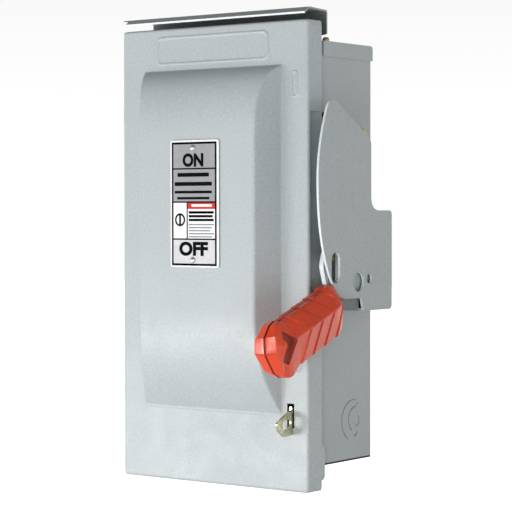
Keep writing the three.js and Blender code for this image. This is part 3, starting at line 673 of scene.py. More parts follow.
# ------------ label
PLATE = span("label_plate")
PLATE_FRONT = PLATE[2]
INK = 0.05                        # each printed layer stands this far before the one under it
LABEL_FRAME = {"x": (-23.8, 23.2), "z": (-8.2, 93.4), "line": 1.8}
LABEL_LINES = (71.5, 44.1, 13.6)  # heights of the rules between the fields
LABEL_BARS = ((66.5, 33, 3.2), (59.0, 39, 3.2), (52.3, 39, 2.2), (47.3, 34, 2.0))   # z, width, height


def ink(name, x0, x1, z0, z1, layer, material, corner=0.0):
    front = PLATE_FRONT - INK * layer
    bar = prism(f"label_{name}", "y", rectangle(x0, x1, z0, z1, corner), front, PLATE_FRONT + 0.02, material)
    rides_with(bar, "label_plate")


def word(name, text, x0, x1, z0, z1):
    """A word of the label, stretched to fill its box."""
    curve = bpy.data.curves.new(name, "FONT")
    curve.body = text
    curve.extrude = 0.5
    curve.offset = 0.05
    curve.resolution_u = 6
    holder = put(name, curve)
    mesh = evaluated_mesh(holder)
    bpy.data.objects.remove(holder)
    co = np.array([v.co for v in mesh.vertices])
    low, high = co.min(0), co.max(0)
    share = (co - low) / (high - low)
    depth = np.where(share[:, 2] > 0.5, PLATE_FRONT - INK * 3, PLATE_FRONT)
    placed_at = row(np.column_stack([x0 + share[:, 0] * (x1 - x0), depth, z0 + share[:, 1] * (z1 - z0)]))
    mesh.vertices.foreach_set("co", placed_at.astype(np.float32).ravel())
    mesh.materials.clear()
    mesh.materials.append(LABEL_BLACK)
    rides_with(face_out(put(name, mesh)), "label_plate")


def add_label():
    x0, x1, _, y1, z0, z1 = PLATE
    plate = prism("label_plate_skin", "y", rectangle(x0, x1, z0, z1, 2), PLATE_FRONT, y1, LABEL_WHITE)
    stands_for(soften(plate, 0.15, angle=28), "label_plate")
    (low_x, high_x), (low_z, high_z), line = (LABEL_FRAME[key] for key in ("x", "z", "line"))
    left, right, foot, head = low_x + line, high_x - line, low_z + line, high_z - line
    upper, middle, lower = LABEL_LINES
    gap, split = line * 0.35, -7.5
    ink("frame", low_x, high_x, low_z, high_z, 1, LABEL_BLACK)
    ink("on_field", left, right, upper + gap, head, 2, LABEL_GREY)
    ink("text_field", left, right, middle + gap, upper - gap, 2, LABEL_GREY)
    ink("off_field", left, right, foot, lower - gap, 2, LABEL_PALE)
    ink("symbol_field", left, split - gap, lower + gap, middle - gap, 2, LABEL_WHITE)
    ink("small_field", split + gap, right, lower + gap, middle - gap, 2, LABEL_WHITE)
    ink("red_band", split + gap, right, 38.4, middle - gap, 3, LABEL_RED)
    ink("band_bar", split + 4.5, right - 3, 40.2, 42.3, 4, LABEL_WHITE, 0.8)
    word("label_on", "ON", -12.3, 9.6, 72.9, 84.2)
    word("label_off", "OFF", -16.0, 14.2, -0.2, 11.6)
    add_label_bars(split + gap, right)
    add_symbol(left, split)


def add_label_bars(left, right):
    """Blank bars in place of the lines of print."""
    middle = -1.2
    for i, (z, width, tall) in enumerate(LABEL_BARS):
        reach, half = width / 2, tall / 2
        ink(f"bar_{i + 1}", middle - reach, middle + reach, z - half, z + half, 3, LABEL_BLACK, 0.6)
    for i, z in enumerate(np.linspace(35.6, 29.4, 3)):
        ink(f"bold_bar_{i + 1}", left + 1, right - 1.2 - (i % 2), z - 1, z + 1, 3, LABEL_BLACK, 0.4)
    for i, z in enumerate(np.linspace(25.6, 15.6, 5)):
        ink(f"thin_bar_{i + 1}", left + 1, right - 1 - 2 * (i % 3), z - 0.5, z + 0.5, 3, LABEL_SOFT, 0.3)


def add_symbol(left, right):
    """A plain switch symbol: a ring with a bar across it."""
    x, z, radius = (left + right) / 2 - 0.3, 29.5, 5.4
    front, back = PLATE_FRONT - INK * 3, PLATE_FRONT
    disc = prism("label_symbol", "y", circle(x, z, radius), front, back, LABEL_BLACK)
    carve(disc, prism("hole", "y", circle(x, z, radius - 1.6), front - 1, back + 1))
    weld(disc, prism("bar", "y", rectangle(x - 1, x + 1, z - radius + 1, z + radius - 1), front, back))
    rides_with(disc, "label_plate")


def add_rivets():
    for i in (1, 2):
        name = f"label_rivet_{i}"
        x0, x1, y0, y1, z0, z1 = span(name)
        r, tall = (x1 - x0) / 2, y1 - y0
        dome = [(r * math.cos(a), tall * math.sin(a)) for a in np.linspace(0, math.pi / 2, 9)]
        profile = [(0, 0), (r, 0), *dome[1:-1], (0, tall)]
        centre = ((x0 + x1) / 2, y1, (z0 + z1) / 2)
        rivet = turned(f"{name}_skin", profile, centre, (0, -1, 0), STEEL)
        stands_for(crisp(rivet), name)


# ------------ enclosure
SHELL = span("box_shell")
KNOCKOUT = {"y": 68.2, "z": -137, "groove": 1.0, "deep": 0.8}
KNOCKOUT_ARCS = ((0, 0, 17.6, 77, 165), (3.6, 0.5, 11.2, 88, 150), (3.5, -0.1, 5.4, -95, 143))
KNOCKOUT_TIES = (((4, 11.9), (6.2, 14.2)), ((4.2, -9.4), (5.6, -11.6)), ((5.6, -11.6), (0.4, -13.6)))
KEYHOLE = {"z": 158, "r": 6, "neck": 3, "reach": 10}
WALL_HOLES = {"x": 60, "z": -140, "r": 3.6}
PIVOT = {"y": 48, "z": 54, "hole": 9}
WALL_LEVELS = {"top": 174.5, "bottom": -170.6}   # the end walls' outer faces


def arc_band(u, v, radius, width, start, turn):
    """Part of a ring, closed at both ends, its angle measured from u towards v."""
    outer = circle(u, v, radius, int(turn / 5), start, turn)
    outer = np.vstack([outer, circle(u, v, radius, 2, start + turn, 0.01)[:1]])
    inner = (outer - (u, v)) * (radius - width) / radius + (u, v)
    return np.vstack([outer, inner[::-1]])


def make_shell():
    x0, x1, y0, y1, z0, z1 = SHELL
    bend, sheet, mouth = 2.0, SHEET, x1 - 6
    outer = [(mouth, y0, 0), (x1, y0, bend), (x1, y1, bend), (x0, y1, bend), (x0, y0, bend), (-mouth, y0, 0)]
    left, right, front, rear, turn = x0 + sheet, x1 - sheet, y0 + sheet, y1 - sheet, 0.6
    inner = [(-mouth, front, 0), (left, front, turn), (left, rear, turn), (right, rear, turn),
             (right, front, turn), (mouth, front, 0)]
    shell = prism("box_skin", "z", rounded(outer + inner), z0, z1, PAINT_SIDE_SHADE)
    keyhole, neck = KEYHOLE["z"], KEYHOLE["neck"]
    screw_x, screw_z, screw_r = (WALL_HOLES[key] for key in ("x", "z", "r"))
    holes = [
        punch("x", circle(PIVOT["y"], PIVOT["z"], PIVOT["hole"]), x1),
        punch("x", rectangle(FLANGE + 4, FLANGE + 15, NOTCH["bottom"], NOTCH["top"], 2), x1),
        punch("y", circle(0, keyhole, KEYHOLE["r"]), y1),
        block("neck", -neck, neck, y1 - 5, y1 + 5, keyhole, keyhole + KEYHOLE["reach"]),
        *(punch("y", circle(side * screw_x, screw_z, screw_r), y1) for side in (-1, 1)),
    ]
    carve(shell, *holes, *knockout_cuts(x1))
    return soften(flat_faces_joined(shell), 0.18)


def knockout_cuts(face):
    """The concentric knockouts' punched lines: each ring is broken where its ties hold it."""
    u, v, width = KNOCKOUT["y"], KNOCKOUT["z"], KNOCKOUT["groove"]
    lines = [arc_band(u + du, v + dv, r, width, start, turn) for du, dv, r, start, turn in KNOCKOUT_ARCS]
    for start, end in KNOCKOUT_TIES:
        start, end = np.array(start) + (u, v), np.array(end) + (u, v)
        aside = np.array([start[1] - end[1], end[0] - start[0]])
        aside *= width / 2 / np.hypot(*aside)
        lines.append(np.array([start + aside, end + aside, end - aside, start - aside]))
    return [prism("groove", "x", line, face - KNOCKOUT["deep"], face + 1) for line in lines]


def bent_wall(node, level, outward, lip, inset=0.0):
    """An end wall: a flat plate whose front edge turns outward behind the door."""
    y1 = span(node)[3]
    half, front, bend = SHELL[1] - inset, FLANGE - 3, 2.0
    inner, tip = level - outward * SHEET, level + outward * lip
    profile = [(front, tip, 0), (front, inner, bend), (y1, inner, 0), (y1, level, 0),
               (front + SHEET, level, 0.6), (front + SHEET, tip, 0)]
    return prism(f"{node}_skin", "x", rounded(profile), -half, half, PAINT_SIDE_SHADE)


def make_top_cap():
    """The top wall is a cap, with side flanges that come down outside the side walls."""
    x1, y1 = (span("top_end_cap")[i] for i in (1, 3))
    level, height, thin, behind, half = WALL_LEVELS["top"], 12.5, 1.2, FLANGE + 5, SHELL[1]
    cap, foot = bent_wall("top_end_cap", level, 1, 11.5), level - height
    side_view = rounded([(behind, level), (y1, level, 3), (y1, foot, 1), (behind, foot, 1)])
    for side in (-1, 1):
        near, far = sorted((side * (x1 - thin), side * x1))
        weld(cap, prism("flange", "x", side_view, near, far))
        near, far = sorted((side * (half - 2), side * (x1 - 0.4)))
        weld(cap, block("edge", near, far, behind, y1 - 1, level - SHEET, level))
    return soften(flat_faces_joined(cap), 0.3)


def make_bottom_wall():
    level = WALL_LEVELS["bottom"]
    wall = bent_wall("bottom_end_wall", level, -1, 15, 0.8)
    for side in (-1, 1):
        for start in (20, 200):
            groove = arc_band(side * 55, 60, 14, 0.9, start, 140)
            carve(wall, prism("groove", "z", groove, level - 1, level + 0.8))
    flat_faces_joined(wall)
    repaint(wall, PAINTED_GAP_SHADE, lambda normal, at: abs(normal.x) > 0.9 and abs(at.x) > 90)   # painted shade: the side edges take the dark material for the shadow gap under the side walls
    return soften(wall, 0.3)


HOOD = {"top": 200.2, "seat": 174.8, "front": 1.2, "web": 34, "wide": 97, "narrow": 92.5, "foot": 14}
HOOD_LIP = (5.5, 4.2)             # how far the front lip comes forward and down


def make_hood():
    top, seat, front, web, wide, narrow = (HOOD[k] for k in ("top", "seat", "front", "web", "wide", "narrow"))
    sheet, lip_y, lip_z = SHEET, front - HOOD_LIP[0], top - HOOD_LIP[1]
    foot = web + HOOD["foot"]
    section = [(lip_y, lip_z, 0), (front, top, 2.2), (web, top, 3), (web, seat + sheet, 0.8),
               (foot, seat + sheet, 0), (foot, seat, 0), (web - sheet, seat, 2),
               (web - sheet, top - sheet, 1.6), (front + 0.6, top - sheet, 1), (lip_y + 0.5, lip_z - 1.5, 0)]
    # Painted shade: the whole hood takes the darker hood enamel.
    hood = prism("hood_skin", "x", rounded(section, 8), -wide, wide, PAINT_HOOD_SHADE)
    plan = [(wide, -10), (wide, front + 2), (narrow, web - 4, 4), (narrow, web + 30)]
    plan += [(-u, v, *r) for u, v, *r in reversed(plan)]
    across = [(100, top + 5), (100, 188), (narrow + 1, 180.5, 6), (82, 179.5), (82, seat - 1),
              (-82, seat - 1), (-82, 179.5), (-88.5, 180.5, 3), (-90.5, 188), (-90.5, top - 1),
              (-100, top - 1), (-100, top + 5)]
    carve(hood, prism("plan", "z", rounded(plan, 10), 150, 220), operation="INTERSECT")
    carve(hood, prism("face", "y", rounded(across, 10), -20, 80), operation="INTERSECT")
    flat_faces_joined(hood)

    def in_shade(normal, at):
        return (normal.z < -0.8 and at.z > lip_z) or (normal.y < -0.8 and at.z < top - sheet)

    # Painted shade: the underside and the front of the web take the darkest enamel, for the shade under the
    # hood.
    repaint(hood, PAINT_SHADED, in_shade)
    # Painted highlight: the lower edge of the front lip takes the lighter edge enamel.
    repaint(hood, PAINT_EDGE_HIGHLIGHT, lambda normal, at: normal.y < -0.5 and abs(at.z - lip_z + 0.75) < 0.3)
    return soften(hood, 0.2)


GUARD = {"x": 115.5, "t": 2, "bottom": -45, "back": 95}
GUARD_HOLES = {"slot": (12.6, -9, 12, 25), "large": (45.3, -21.3, 7.8), "small": (61, -19, 4)}


def guard_outline():
    bottom, back = GUARD["bottom"], GUARD["back"]
    return curve_points(
        (7.2, -20.2),
        ((-6, 1), (-11.6, 28), (-11.6, 61)), ((-11.6, 82), (-6.5, 101), (1, 119.4)),
        ((4.5, 126.5), (12, 125.2)), (60, 97.5), ((64, 95), (64, 90)), (64, 49),
        ((64.2, 37.1), (76, 37.1)), (back - 4, 37.1), ((back, 37.1), (back, 33)),
        (back, bottom + 4), ((back, bottom), (back - 4, bottom)), (53, bottom),
        (49.5, -34.4), (27, -34.4), ((15, -33), (7.2, -20.2)), steps=24)[:-1]


def make_guard():
    x, t, bottom, back = (GUARD[key] for key in ("x", "t", "bottom", "back"))
    wall, top = SHELL[1] + GAP, 30
    plate = prism("guard_skin", "x", guard_outline(), x - t, x, PAINT_SIDE_SHADE)
    floor = rounded([(wall, 52, 3), (x, 52, 3), (x, back - 4, 0), (wall, back - 4, 0)])
    weld(plate, prism("floor", "z", floor, bottom, bottom + t))
    weld(plate, block("rear", wall, x - t / 2, back - 4, back - 2, bottom, top))
    weld(plate, block("foot", wall, wall + t, 66, back - 3, bottom + 1, top))
    outlines = (obround(*GUARD_HOLES["slot"]), circle(*GUARD_HOLES["large"]), circle(*GUARD_HOLES["small"]))
    carve(plate, *(punch("x", outline, x) for outline in outlines))
    inner, outer = x - t - 2.1, x - t - 1.6
    backing = rounded([(36, -32, 3), (74, -32, 3), (74, -8, 3), (36, -8, 3)])
    weld(plate, prism("backing", "x", backing, inner, outer))
    weld(plate, block("spacer", inner + 0.2, x - t + 0.4, 70, 72, -31, -10))
    # Painted shade: a sheet in the darkest enamel stands behind the bottom notch, where the inside of the
    # guard lies in shade.
    shaded = rectangle(26, 50.5, bottom + 1.6, -32.4, 1)
    weld(plate, prism("notch_backing", "x", shaded, inner, outer, PAINT_SHADED))
    weld(plate, block("notch_spacer", inner + 0.2, x - t + 0.4, 36, 46, -33.6, -32.8))
    return soften(paint_edge_highlights(flat_faces_joined(plate), x - t, x), 0.38)


def paint_edge_highlights(obj, x0, x1):
    """Paints the cut edges of a plate that lies across x in the lighter edge enamel, a painted highlight."""
    return repaint(obj, PAINT_EDGE_HIGHLIGHT, lambda normal, at: abs(normal.x) < 0.3 and x0 - 0.01 < at.x < x1 + 0.01)


# ------------ latch
def add_hasp():
    x0, x1 = span("latch_hasp")[:2]
    side = rounded([
        (12, -119, 1), (12, -131, 3), (3, -136.5, 1), (-0.8, -138.2, 1), (-0.8, -144.2, 1.2), (-12, -145, 3),
        (-18.6, -140, 2), (-22, -133.2, 2.4), (-9, -126.8, 2.5), (3, -123, 2), (8, -119, 1),
    ], 8)
    eye = rounded([(-5, -130, 2), (-13.5, -132, 2.5), (-14.5, -137, 2), (-12, -140.5, 1.5), (-3, -137.5, 2),
                   (-1.8, -133, 2)], 8)
    hasp = prism("hasp_skin", "x", side, x0, x1, HASP_ZINC)
    bore = circle(8, -126, 2.15)
    carve(hasp, prism("eye", "x", eye, x0 - 2, x1 + 2), prism("bore", "x", bore, x0 - 2, x1 + 2))
    stands_for(soften(flat_faces_joined(hasp), 0.4, 3), "latch_hasp")
    catch = prism("hasp_catch", "y", rectangle(77.2, x0 + 0.2, -127.2, -121.4, 1.2), 1.6, 3.4, STEEL)
    rides_with(soften(catch, 0.35, angle=28), "latch_hasp")


# ------------ fasteners
def add_screw(node, axis, slot):
    """A domed head with a crosswise slot, standing where the CAD node's head stands."""
    x0, x1, y0, y1, z0, z1 = span(node)
    low, high = np.array([x0, y0, z0]), np.array([x1, y1, z1])
    direction = np.array(axis, float)
    along = int(np.argmax(np.abs(direction)))
    tall, r = (high - low)[along], np.delete(high - low, along).max() / 2
    origin = (low + high) / 2 - direction * tall / 2
    dome = [(r * math.cos(a) ** 0.8, tall * (0.45 + 0.55 * math.sin(a))) for a in np.linspace(0, 1.45, 7)]
    profile = [(0, 0), (r, 0), (r, tall * 0.4), *dome, (0, tall)]
    head = turned(f"{node}_skin", profile, origin, axis, FINISH[slot])
    centre = origin + direction * tall * 1.5
    for other in sorted({0, 1, 2} - {along}):
        reach = np.full(3, r * 0.14)
        reach[along], reach[other] = tall, r * 0.72
        (u0, v0, w0), (u1, v1, w1) = centre - reach, centre + reach
        carve(head, block("slot", u0, u1, v0, v1, w0, w1))
    stands_for(crisp(head, 30), node)


def add_screws():
    for i in (1, 2):
        add_screw(f"cap_screw_{i}", (0, 0, 1), "yellow_zinc")
        add_screw(f"hub_screw_{i}", (0, 0, 1), "yellow_zinc")
        add_screw(f"grip_screw_{i}", (-1, 0, 0), "bright_steel")


# ------------ grip
# Along the grip is forward and down, from its rear end; up is across it; out is away from the parting plane.
GRIP = {"y": 17, "z": -41.4, "pitch": math.radians(21), "mid": 111.2, "start": 0.5, "end": 99.6}
TANG = {"length": 60, "half": 10.5, "x": (107, 111)}
GRIP_SCREWS = {"along": (30, 72), "up": 3, "seat": 3.3}
RIDGE = 5.5                       # height of the ridge down each side
SCALE = {"pitch": 17, "count": 3, "rise": 1.1, "drop": 0.6, "lead_up": 0.97, "lead_down": 0.55}
PARTING_BEVEL = 0.8               # the groove where the two halves meet
BULB_FROM = 70                    # where the grip begins to swell into its rounded nose


def on_grip(along, up):
    """(y, z) of a place on the grip."""
    c, s = math.cos(GRIP["pitch"]), math.sin(GRIP["pitch"])
    along, up = np.asarray(along, float), np.asarray(up, float)
    return np.stack([GRIP["y"] - along * c - up * s, GRIP["z"] - along * s + up * c], -1)


def through(pairs):
    """A broken line through (along, value) pairs, level past its ends."""
    places, values = np.array(pairs, float).T
    return lambda along: np.interp(along, places, values)


TOP_LINE = through([(0.5, 17), (2, 20.6), (5, 22.6), (10, 22.6), (15, 21.3), (74, 21.3), (79, 23.9), (86, 23),
                    (95.8, 16.4), (99.6, 4.2)])
BOTTOM_LINE = through([(0.5, -12), (4, -16.5), (10, -19), (66, -19), (72, -21.5), (78, -24), (84, -23.2),
                       (88, -21.4), (94, -15.4), (99.6, 2.8)])
REAR_WIDTH = through([(0.5, 3.4), (3, 1.5), (6, 0.7), (12, 0)])   # how much narrower the rear end is
# Each half's nose: its width at the top and bottom as (along, width), the width of its face, how far that
# face stands back, and how far the outer corners of its top and bottom come in from the parting line.
NOSES = {
    1: {"top": ((82, 5), (87, 6), (92, 7.2), (96, 8.4), (99, 8.5)),
        "bottom": ((80, 6), (91, 6), (94.5, 7.6), (97.5, 8.5)),
        "face": 8.5, "back": 4.6, "lowered": 0.0, "raised": 0.0},
    -1: {"top": ((82, 9), (93, 9.6), (97, 10.8), (99, 11.2)),
         "bottom": ((80, 9), (94, 9.8), (98.5, 11.2)),
         "face": 11.2, "back": 1.8, "lowered": 2.4, "raised": 1.6},
}


def grip_widths(along, side, widest):
    """Half widths at the top, at the ridge and at the bottom."""
    nose = NOSES[side]
    top = through([(0.5, 4), (8, 5), (74, 5), *nose["top"]])(along)
    bottom = through([(0.5, 5), (8, 6), (68, 6), *nose["bottom"]])(along)
    crest = np.interp(along, [84, 97, 99.6], [widest, nose["face"] + 0.6, nose["face"]])
    return top, crest - REAR_WIDTH(along), bottom


def bent(start, corner, end, reach, steps=4):
    """Points that round a corner, with reach the length cut off each side."""
    start, corner, end = (np.asarray(p, float) for p in (start, corner, end))
    one = corner + (start - corner) * min(0.45, reach / max(np.linalg.norm(start - corner), 1e-6))
    two = corner + (end - corner) * min(0.45, reach / max(np.linalg.norm(end - corner), 1e-6))
    return arc(one, corner, two, steps)


def grip_section(along, side, widest):
    """One half's section as points (out, up), from the parting plane over the top and round to the bottom."""
    top, bottom = TOP_LINE(along), BOTTOM_LINE(along)
    a, w, b = grip_widths(along, side, widest)
    swell = np.interp(along, [74, 84], [0, 1])
    crest, bevel = min(max(RIDGE, bottom + 0.7), top - 0.7), PARTING_BEVEL
    tip = np.interp(along, [94, 99], [1, 0])
    shoulder = max(top - NOSES[side]["lowered"] * swell * tip, crest + 0.2)
    heel = min(bottom + NOSES[side]["raised"] * swell * tip, crest - 0.2)
    corners = [np.array(p) for p in ((0, top), (a, shoulder), (w, crest), (b, heel), (0, bottom))]
    turns = [bent(*three, 1.2) for three in zip(corners, corners[1:], corners[2:])]
    points = [np.array([0, top - bevel]), np.array([bevel, top])]
    for turn, between in zip(turns, (2, 8, 8)):
        shares = np.linspace(0, 1, between + 2)[1:-1]
        points += [points[-1] + (turn[0] - points[-1]) * t for t in shares]
        points += turn
    last, foot = points[-1], np.array([bevel, bottom])
    points += [last + (foot - last) * t for t in (0.33, 0.66)]
    points += [foot, np.array([0, bottom + bevel])]
    return np.array(points)


def stand_back(along, out, side):
    """How far back a place lies because the nose slopes back towards the face of its half."""
    grown = np.clip((along - 80) / (GRIP["end"] - 80), 0, 1)
    share = np.clip(out / NOSES[side]["face"], 0, 1)
    return NOSES[side]["back"] * grown * share


def scale_lead(up):
    above = np.clip(up - RIDGE, 0, None) * SCALE["lead_up"]
    below = np.clip(RIDGE - up, 0, None) * SCALE["lead_down"]
    return above + below


def scale_height(along, up):
    """The overlapping scales: each rises towards its front edge and then drops to the next one."""
    u = (along - scale_lead(up)) / SCALE["pitch"]
    part = u - np.floor(u)
    height = np.maximum(part, 1 - part * SCALE["pitch"] / SCALE["drop"])
    height = np.where(u >= SCALE["count"], 1 - (u - SCALE["count"]) * SCALE["pitch"] / SCALE["drop"], height)
    return SCALE["rise"] * (np.clip(height, 0, 1) - 0.5)


def scale_share(up):
    """The scales stand out less above the ridge than below it."""
    return np.interp(up, [RIDGE - 1, RIDGE + 3, 20], [0.8, 0.4, 0.75])


def grip_stations():
    """Stations along the grip as (kind, share): before the scales, on them, after them, and on the nose."""
    drop = SCALE["drop"] / SCALE["pitch"]
    on_scale = (0, drop / 2, drop, *np.linspace(0.12, 0.94, 9))
    stations = [("rear", t) for t in np.linspace(0, 1, 14)[:-1]]
    stations += [("scale", k + t) for k in range(SCALE["count"]) for t in on_scale]
    stations += [("after", t) for t in (0, 0.012, 0.03, *np.linspace(0.12, 0.94, 8))]
    return stations + [("nose", t) for t in np.linspace(0, 1, 38)]


def ledge(kind, share):
    """True where the band that starts at this station is the step in front of a scale."""
    drop = SCALE["drop"] / SCALE["pitch"]
    return (kind == "scale" and share % 1 < 0.9 * drop) or (kind == "after" and share < 0.02)


def station_along(kind, share, lead):
    """How far along the grip a station lies at a place on the section with this lead."""
    pitch, last = SCALE["pitch"], SCALE["pitch"] * SCALE["count"]
    if kind == "rear":
        return GRIP["start"] + (lead - GRIP["start"]) * share
    if kind == "scale":
        return lead + pitch * share
    if kind == "after":
        return (lead + last) + (BULB_FROM - lead - last) * share
    return np.full_like(lead, BULB_FROM + (GRIP["end"] - BULB_FROM) * share)


def make_grip_half(name, side, widest):
    widest = widest - SCALE["rise"] / 2
    lead = np.maximum(scale_lead(grip_section(BULB_FROM / 2, side, widest)[:, 1]), GRIP["start"] + 0.4)
    rings, stations = [], grip_stations()
    for kind, share in stations:
        along = station_along(kind, share, lead)
        ring = np.array([grip_section(a, side, widest)[k] for k, a in enumerate(along)])
        edges = np.roll(ring, -1, 0) - np.roll(ring, 1, 0)
        outward = np.column_stack([-edges[:, 1], edges[:, 0]])
        outward /= np.linalg.norm(outward, axis=1)[:, None] + 1e-9
        outward[[0, 1, -2, -1]] = [(0, 1), (0, 1), (0, -1), (0, -1)]
        ring += outward * (scale_height(along, ring[:, 1]) * scale_share(ring[:, 1]))[:, None]
        y_z = on_grip(along - stand_back(along, ring[:, 0], side), ring[:, 1])
        x = GRIP["mid"] + side * (GAP / 2 + np.clip(ring[:, 0], 0, None))
        rings.append(np.column_stack([x, y_z]))
    half = lofted(name, rings, RED)
    half.data.materials.append(RED_CREASE_SHADE)
    half.data.materials.append(RED_SEAM_SHADE)
    count = len(lead)
    for number, polygon in enumerate(half.data.polygons[:count * (len(rings) - 1)]):
        band, place = divmod(number, count)
        # Painted shade: the nose's parting edges take the near-black red.
        if stations[band][0] == "nose" and place in (0, count - 2):
            polygon.material_index = 2
        # Painted shade: the ledges in front of the scales take the darker red.
        elif ledge(*stations[band]):
            polygon.material_index = 1
    return half


def grip_prism(name, outline, x0, x1):
    outline = np.array(outline, float)
    return prism(name, "x", on_grip(outline[:, 0], outline[:, 1]), x0, x1)


def tang_pocket():
    half = TANG["half"] + GAP
    x0, x1 = TANG["x"][0] - GAP, TANG["x"][1] + GAP
    blade, throat = rectangle(-10, TANG["length"] + 1, -half, half), rectangle(-10, 7, -14, 30)
    return [grip_prism("tang", blade, x0, x1), grip_prism("throat", throat, x0, x1 + 0.01)]


def add_grip():
    mid = GRIP["mid"]
    outer = make_grip_half("grip_outer_skin", 1, span("grip_outer_half")[1] - mid)
    arrow = rounded([(70.7, 4.4, 1), (82.8, 16.6, 0.6), (86, 11, 0.6), (84, 8.4, 0.6), (84.8, 4.6, 0.6),
                     (90, -6.4, 0.6), (83.8, -11.4, 0.8)], 4)
    recess = grip_prism("arrow", arrow, mid + 7, mid + 20)
    # Painted shade: the recess's faces take the darker red for the shade inside it.
    recess.data.materials.append(RED_RECESS_SHADE)
    carve(outer, *tang_pocket(), recess)
    stands_for(crisp(outer, 27), "grip_outer_half")
    inner = make_grip_half("grip_inner_skin", -1, mid - span("grip_inner_half")[0])
    deep = span("grip_screw_1")[1]
    y_z = [on_grip(along, GRIP_SCREWS["up"]) for along in GRIP_SCREWS["along"]]
    seats = [prism("seat", "x", circle(*place, GRIP_SCREWS["seat"]), deep - 12, deep) for place in y_z]
    carve(inner, *tang_pocket(), *seats)
    stands_for(crisp(inner, 27), "grip_inner_half")


# ------------ inside
def tube(name, path, radius, material, sides=14):
    """A round wire along a path, closed at both ends."""
    path = np.array(path, float)
    ahead = np.gradient(path, axis=0)
    ahead /= np.linalg.norm(ahead, axis=1)[:, None]
    up = np.cross(ahead, (1, 0, 0))
    up /= np.linalg.norm(up, axis=1)[:, None]
    aside = np.cross(ahead, up)
    angles = np.linspace(0, 2 * math.pi, sides, endpoint=False)
    rings = [p + radius * (np.cos(angles)[:, None] * u + np.sin(angles)[:, None] * a)
             for p, u, a in zip(path, up, aside)]
    return lofted(name, rings, material)


def add_spring():
    start, pitch, turns, radius, wire = 79.8, 2.16, 2.5, 9, 0.85
    turn = np.linspace(0.02, turns - 0.02, 150)
    angle = 2 * math.pi * turn
    y = PIVOT["y"] + radius * np.cos(angle)
    z = PIVOT["z"] + radius * np.sin(angle)
    spring = tube("torsion_spring_skin", np.column_stack([start + turn * pitch, y, z]), wire, STEEL)
    stands_for(crisp(spring, 50), "torsion_spring")


def add_fuses():
    cap, edge, chamfer, up = 13, 0.8, 0.25, (0, 0, 1)
    for name in ("fuse_1", "fuse_2"):
        x0, x1, y0, y1, z0, z1 = span(name)
        centre, r, long = ((x0 + x1) / 2, (y0 + y1) / 2, z0), (x1 - x0) / 2, z1 - z0
        paper = [(0, 1), (r - 0.5, 1), (r - 0.5, long - 1), (0, long - 1)]
        stands_for(crisp(turned(f"{name}_tube", paper, centre, up, FUSE_PAPER)), name)
        for end, low in (("lower", 0), ("upper", long - cap)):
            foot = [(0, low), (r - edge, low), (r - chamfer, low + chamfer), (r, low + edge)]
            head = [(u, 2 * low + cap - v) for u, v in reversed(foot)]
            ferrule = turned(f"{name}_cap_{end}", foot + head, centre, up, COPPER)
            rides_with(crisp(ferrule, 50), name)


# ------------ pieces kept from the CAD model
KEPT = {
    "yellow_zinc": ("stop_bolt", "pivot_nut", "lock_tab", "shaft_bearing", "mechanism_frame", "drive_link"),
    "bright_steel": ("hinge_pin", "latch_bracket", "operating_shaft", "line_lug_screw", "load_lug_screw"),
    "black_plastic": ("crossbar", "line_base", "fuse_base"),
    "copper": ("line_jaw", "hinge_jaw", "fuse_clip", "blade"),
    "tinned_aluminium": ("line_lug", "load_lug", "ground_lug"),
    "clear_plastic": ("line_shield",),
    "grey_paint": ("hub_closure_plate", "hinge_leaf", "door_leaf", "handle_arm"),
}
FINISH = {"yellow_zinc": ZINC, "bright_steel": STEEL, "black_plastic": BLACK, "copper": COPPER,
          "tinned_aluminium": TINNED, "clear_plastic": CLEAR, "grey_paint": PAINT_SIDE_SHADE}
EDGE = {"black_plastic": 0.5, "copper": 0.2, "tinned_aluminium": 0.4}


def slot_of(node):
    """The slot whose longest listed name starts the node's name."""
    fits = [(len(name), slot) for slot, names in KEPT.items() for name in names if node.startswith(name)]
    return max(fits)[1]


def finish_kept(node):
    """Rounds the edges of a CAD node that is shown as it is, and gives it its material."""
    obj, slot = NODES[node], slot_of(node)
    obj.data.materials.clear()
    obj.data.materials.append(FINISH[slot])
    # Painted highlight: the arm's cut edges take the lighter edge enamel.
    if node == "handle_arm":
        paint_edge_highlights(obj, *span(node)[:2])
    merge = obj.modifiers.new("merge", "WELD")
    merge.merge_threshold = 0.01 * MM
    soften(dissolve(obj, 0.5), EDGE.get(slot, 0.25), angle=30)


def add_kept_pieces():
    for node, obj in sorted(NODES.items()):
        if not obj.hide_render:
            finish_kept(node)


# ------------ studio
BACKDROP = {"side": (-0.6, 0.8, 0), "from": 0.1, "to": 0.72, "elsewhere": 0.63}
SKY_FADE = {"from": 0.06, "to": 0.6, "overhead": 0.38}


def add_world():
    """A white surround behind the object, dimmer to its front and right and overhead."""
    world = bpy.data.worlds.new("studio")
    bpy.context.scene.world = world
    sky = Tree(world)
    place = sky.add("ShaderNodeTexCoord").outputs["Generated"]
    parts = sky.add("ShaderNodeSeparateXYZ")
    facing = sky.add("ShaderNodeVectorMath", operation="DOT_PRODUCT")
    facing.inputs[1].default_value = BACKDROP["side"]
    sky.link(place, parts.inputs["Vector"])
    sky.link(place, facing.inputs[0])
    beside = sky.range(facing.outputs["Value"], BACKDROP["elsewhere"], 1, BACKDROP["from"], BACKDROP["to"])
    upward = sky.range(parts.outputs["Z"], 1, SKY_FADE["overhead"], SKY_FADE["from"], SKY_FADE["to"])
    both = sky.add("ShaderNodeMath", operation="MULTIPLY")
    sky.link(beside, both.inputs[0])
    sky.link(upward, both.inputs[1])
    background = sky.tree.nodes["Background"]
    sky.link(both.outputs["Value"], background.inputs["Strength"])
    background.inputs["Color"].default_value = (*WHITE, 1)


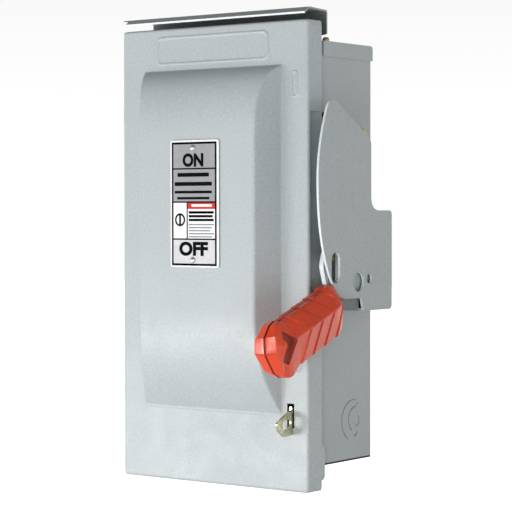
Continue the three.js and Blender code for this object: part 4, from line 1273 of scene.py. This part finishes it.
FLOOR = {"level": -0.45, "half": 9.0, "tone": (0.8, 0.8, 0.8, 1)}
FLOOR_GLOW = {"near": 0.22, "far": 1.05, "from": 0.5, "to": 1.6}   # the floor brightens with distance


def add_floor():
    half = FLOOR["half"]
    mesh = bpy.data.meshes.new("floor")
    corners = [(-half, -half, 0), (half, -half, 0), (half, half, 0), (-half, half, 0)]
    mesh.from_pydata(corners, [], [(0, 1, 2, 3)])
    floor = put("floor", mesh)
    floor.location.z = FLOOR["level"]
    g = Graph("floor", roughness=0.7)
    distance = g.add("ShaderNodeVectorMath", operation="LENGTH")
    g.link(g.place, distance.inputs[0])
    glow = g.range(distance.outputs["Value"], *(FLOOR_GLOW[key] for key in ("near", "far", "from", "to")))
    g.link(glow, g.shader.inputs["Emission Strength"])
    g.shader.inputs["Base Color"].default_value = FLOOR["tone"]
    g.shader.inputs["Emission Color"].default_value = (*WHITE, 1)
    mesh.materials.append(g.material)


SOFTBOXES = {
    "key": {"place": (-0.62, -0.98, -0.34), "aim": (0, -0.1, -0.06), "size": (0.5, 0.35), "power": 6.6},
    "sheen": {"place": (0.42, -1.12, -0.19), "aim": (0.1, -0.16, -0.08), "size": (0.22, 0.2), "power": 3.4},
}
CAMERA = {"place": (0.98573, -1.35122, 0.03645), "target": (0.02887, -0.07339, -0.00069),
          "roll": math.radians(-0.0755), "lens": 135.1, "sensor": 36}


def turn_towards(place, target):
    """A matrix that stands a lamp or camera at a place, looking at the target."""
    look = (Vector(target) - Vector(place)).to_track_quat("-Z", "Y")
    return Matrix.Translation(place) @ look.to_matrix().to_4x4()


def add_softboxes():
    for name, box in SOFTBOXES.items():
        light = bpy.data.lights.new(name, "AREA")
        light.shape = "RECTANGLE"
        light.size, light.size_y = box["size"]
        light.energy = box["power"]
        put(name, light).matrix_world = turn_towards(box["place"], box["aim"])


def add_camera():
    data = bpy.data.cameras.new("camera")
    data.sensor_width, data.lens = CAMERA["sensor"], CAMERA["lens"]
    camera = put("camera", data)
    roll = Matrix.Rotation(CAMERA["roll"], 4, "Z")
    camera.matrix_world = turn_towards(CAMERA["place"], CAMERA["target"]) @ roll
    bpy.context.scene.camera = camera


def add_studio():
    add_world()
    add_floor()
    add_softboxes()
    add_camera()
    bpy.context.scene.view_settings.view_transform = "Standard"


SHEET_METAL = {"door_panel": make_door, "box_shell": make_shell, "top_end_cap": make_top_cap,
               "bottom_end_wall": make_bottom_wall, "rain_hood": make_hood, "handle_guard": make_guard}


def main():
    for node, make in SHEET_METAL.items():
        stands_for(make(), node)
    add_label()
    add_rivets()
    add_hasp()
    add_screws()
    add_grip()
    add_spring()
    add_fuses()
    add_kept_pieces()
    add_studio()


main()
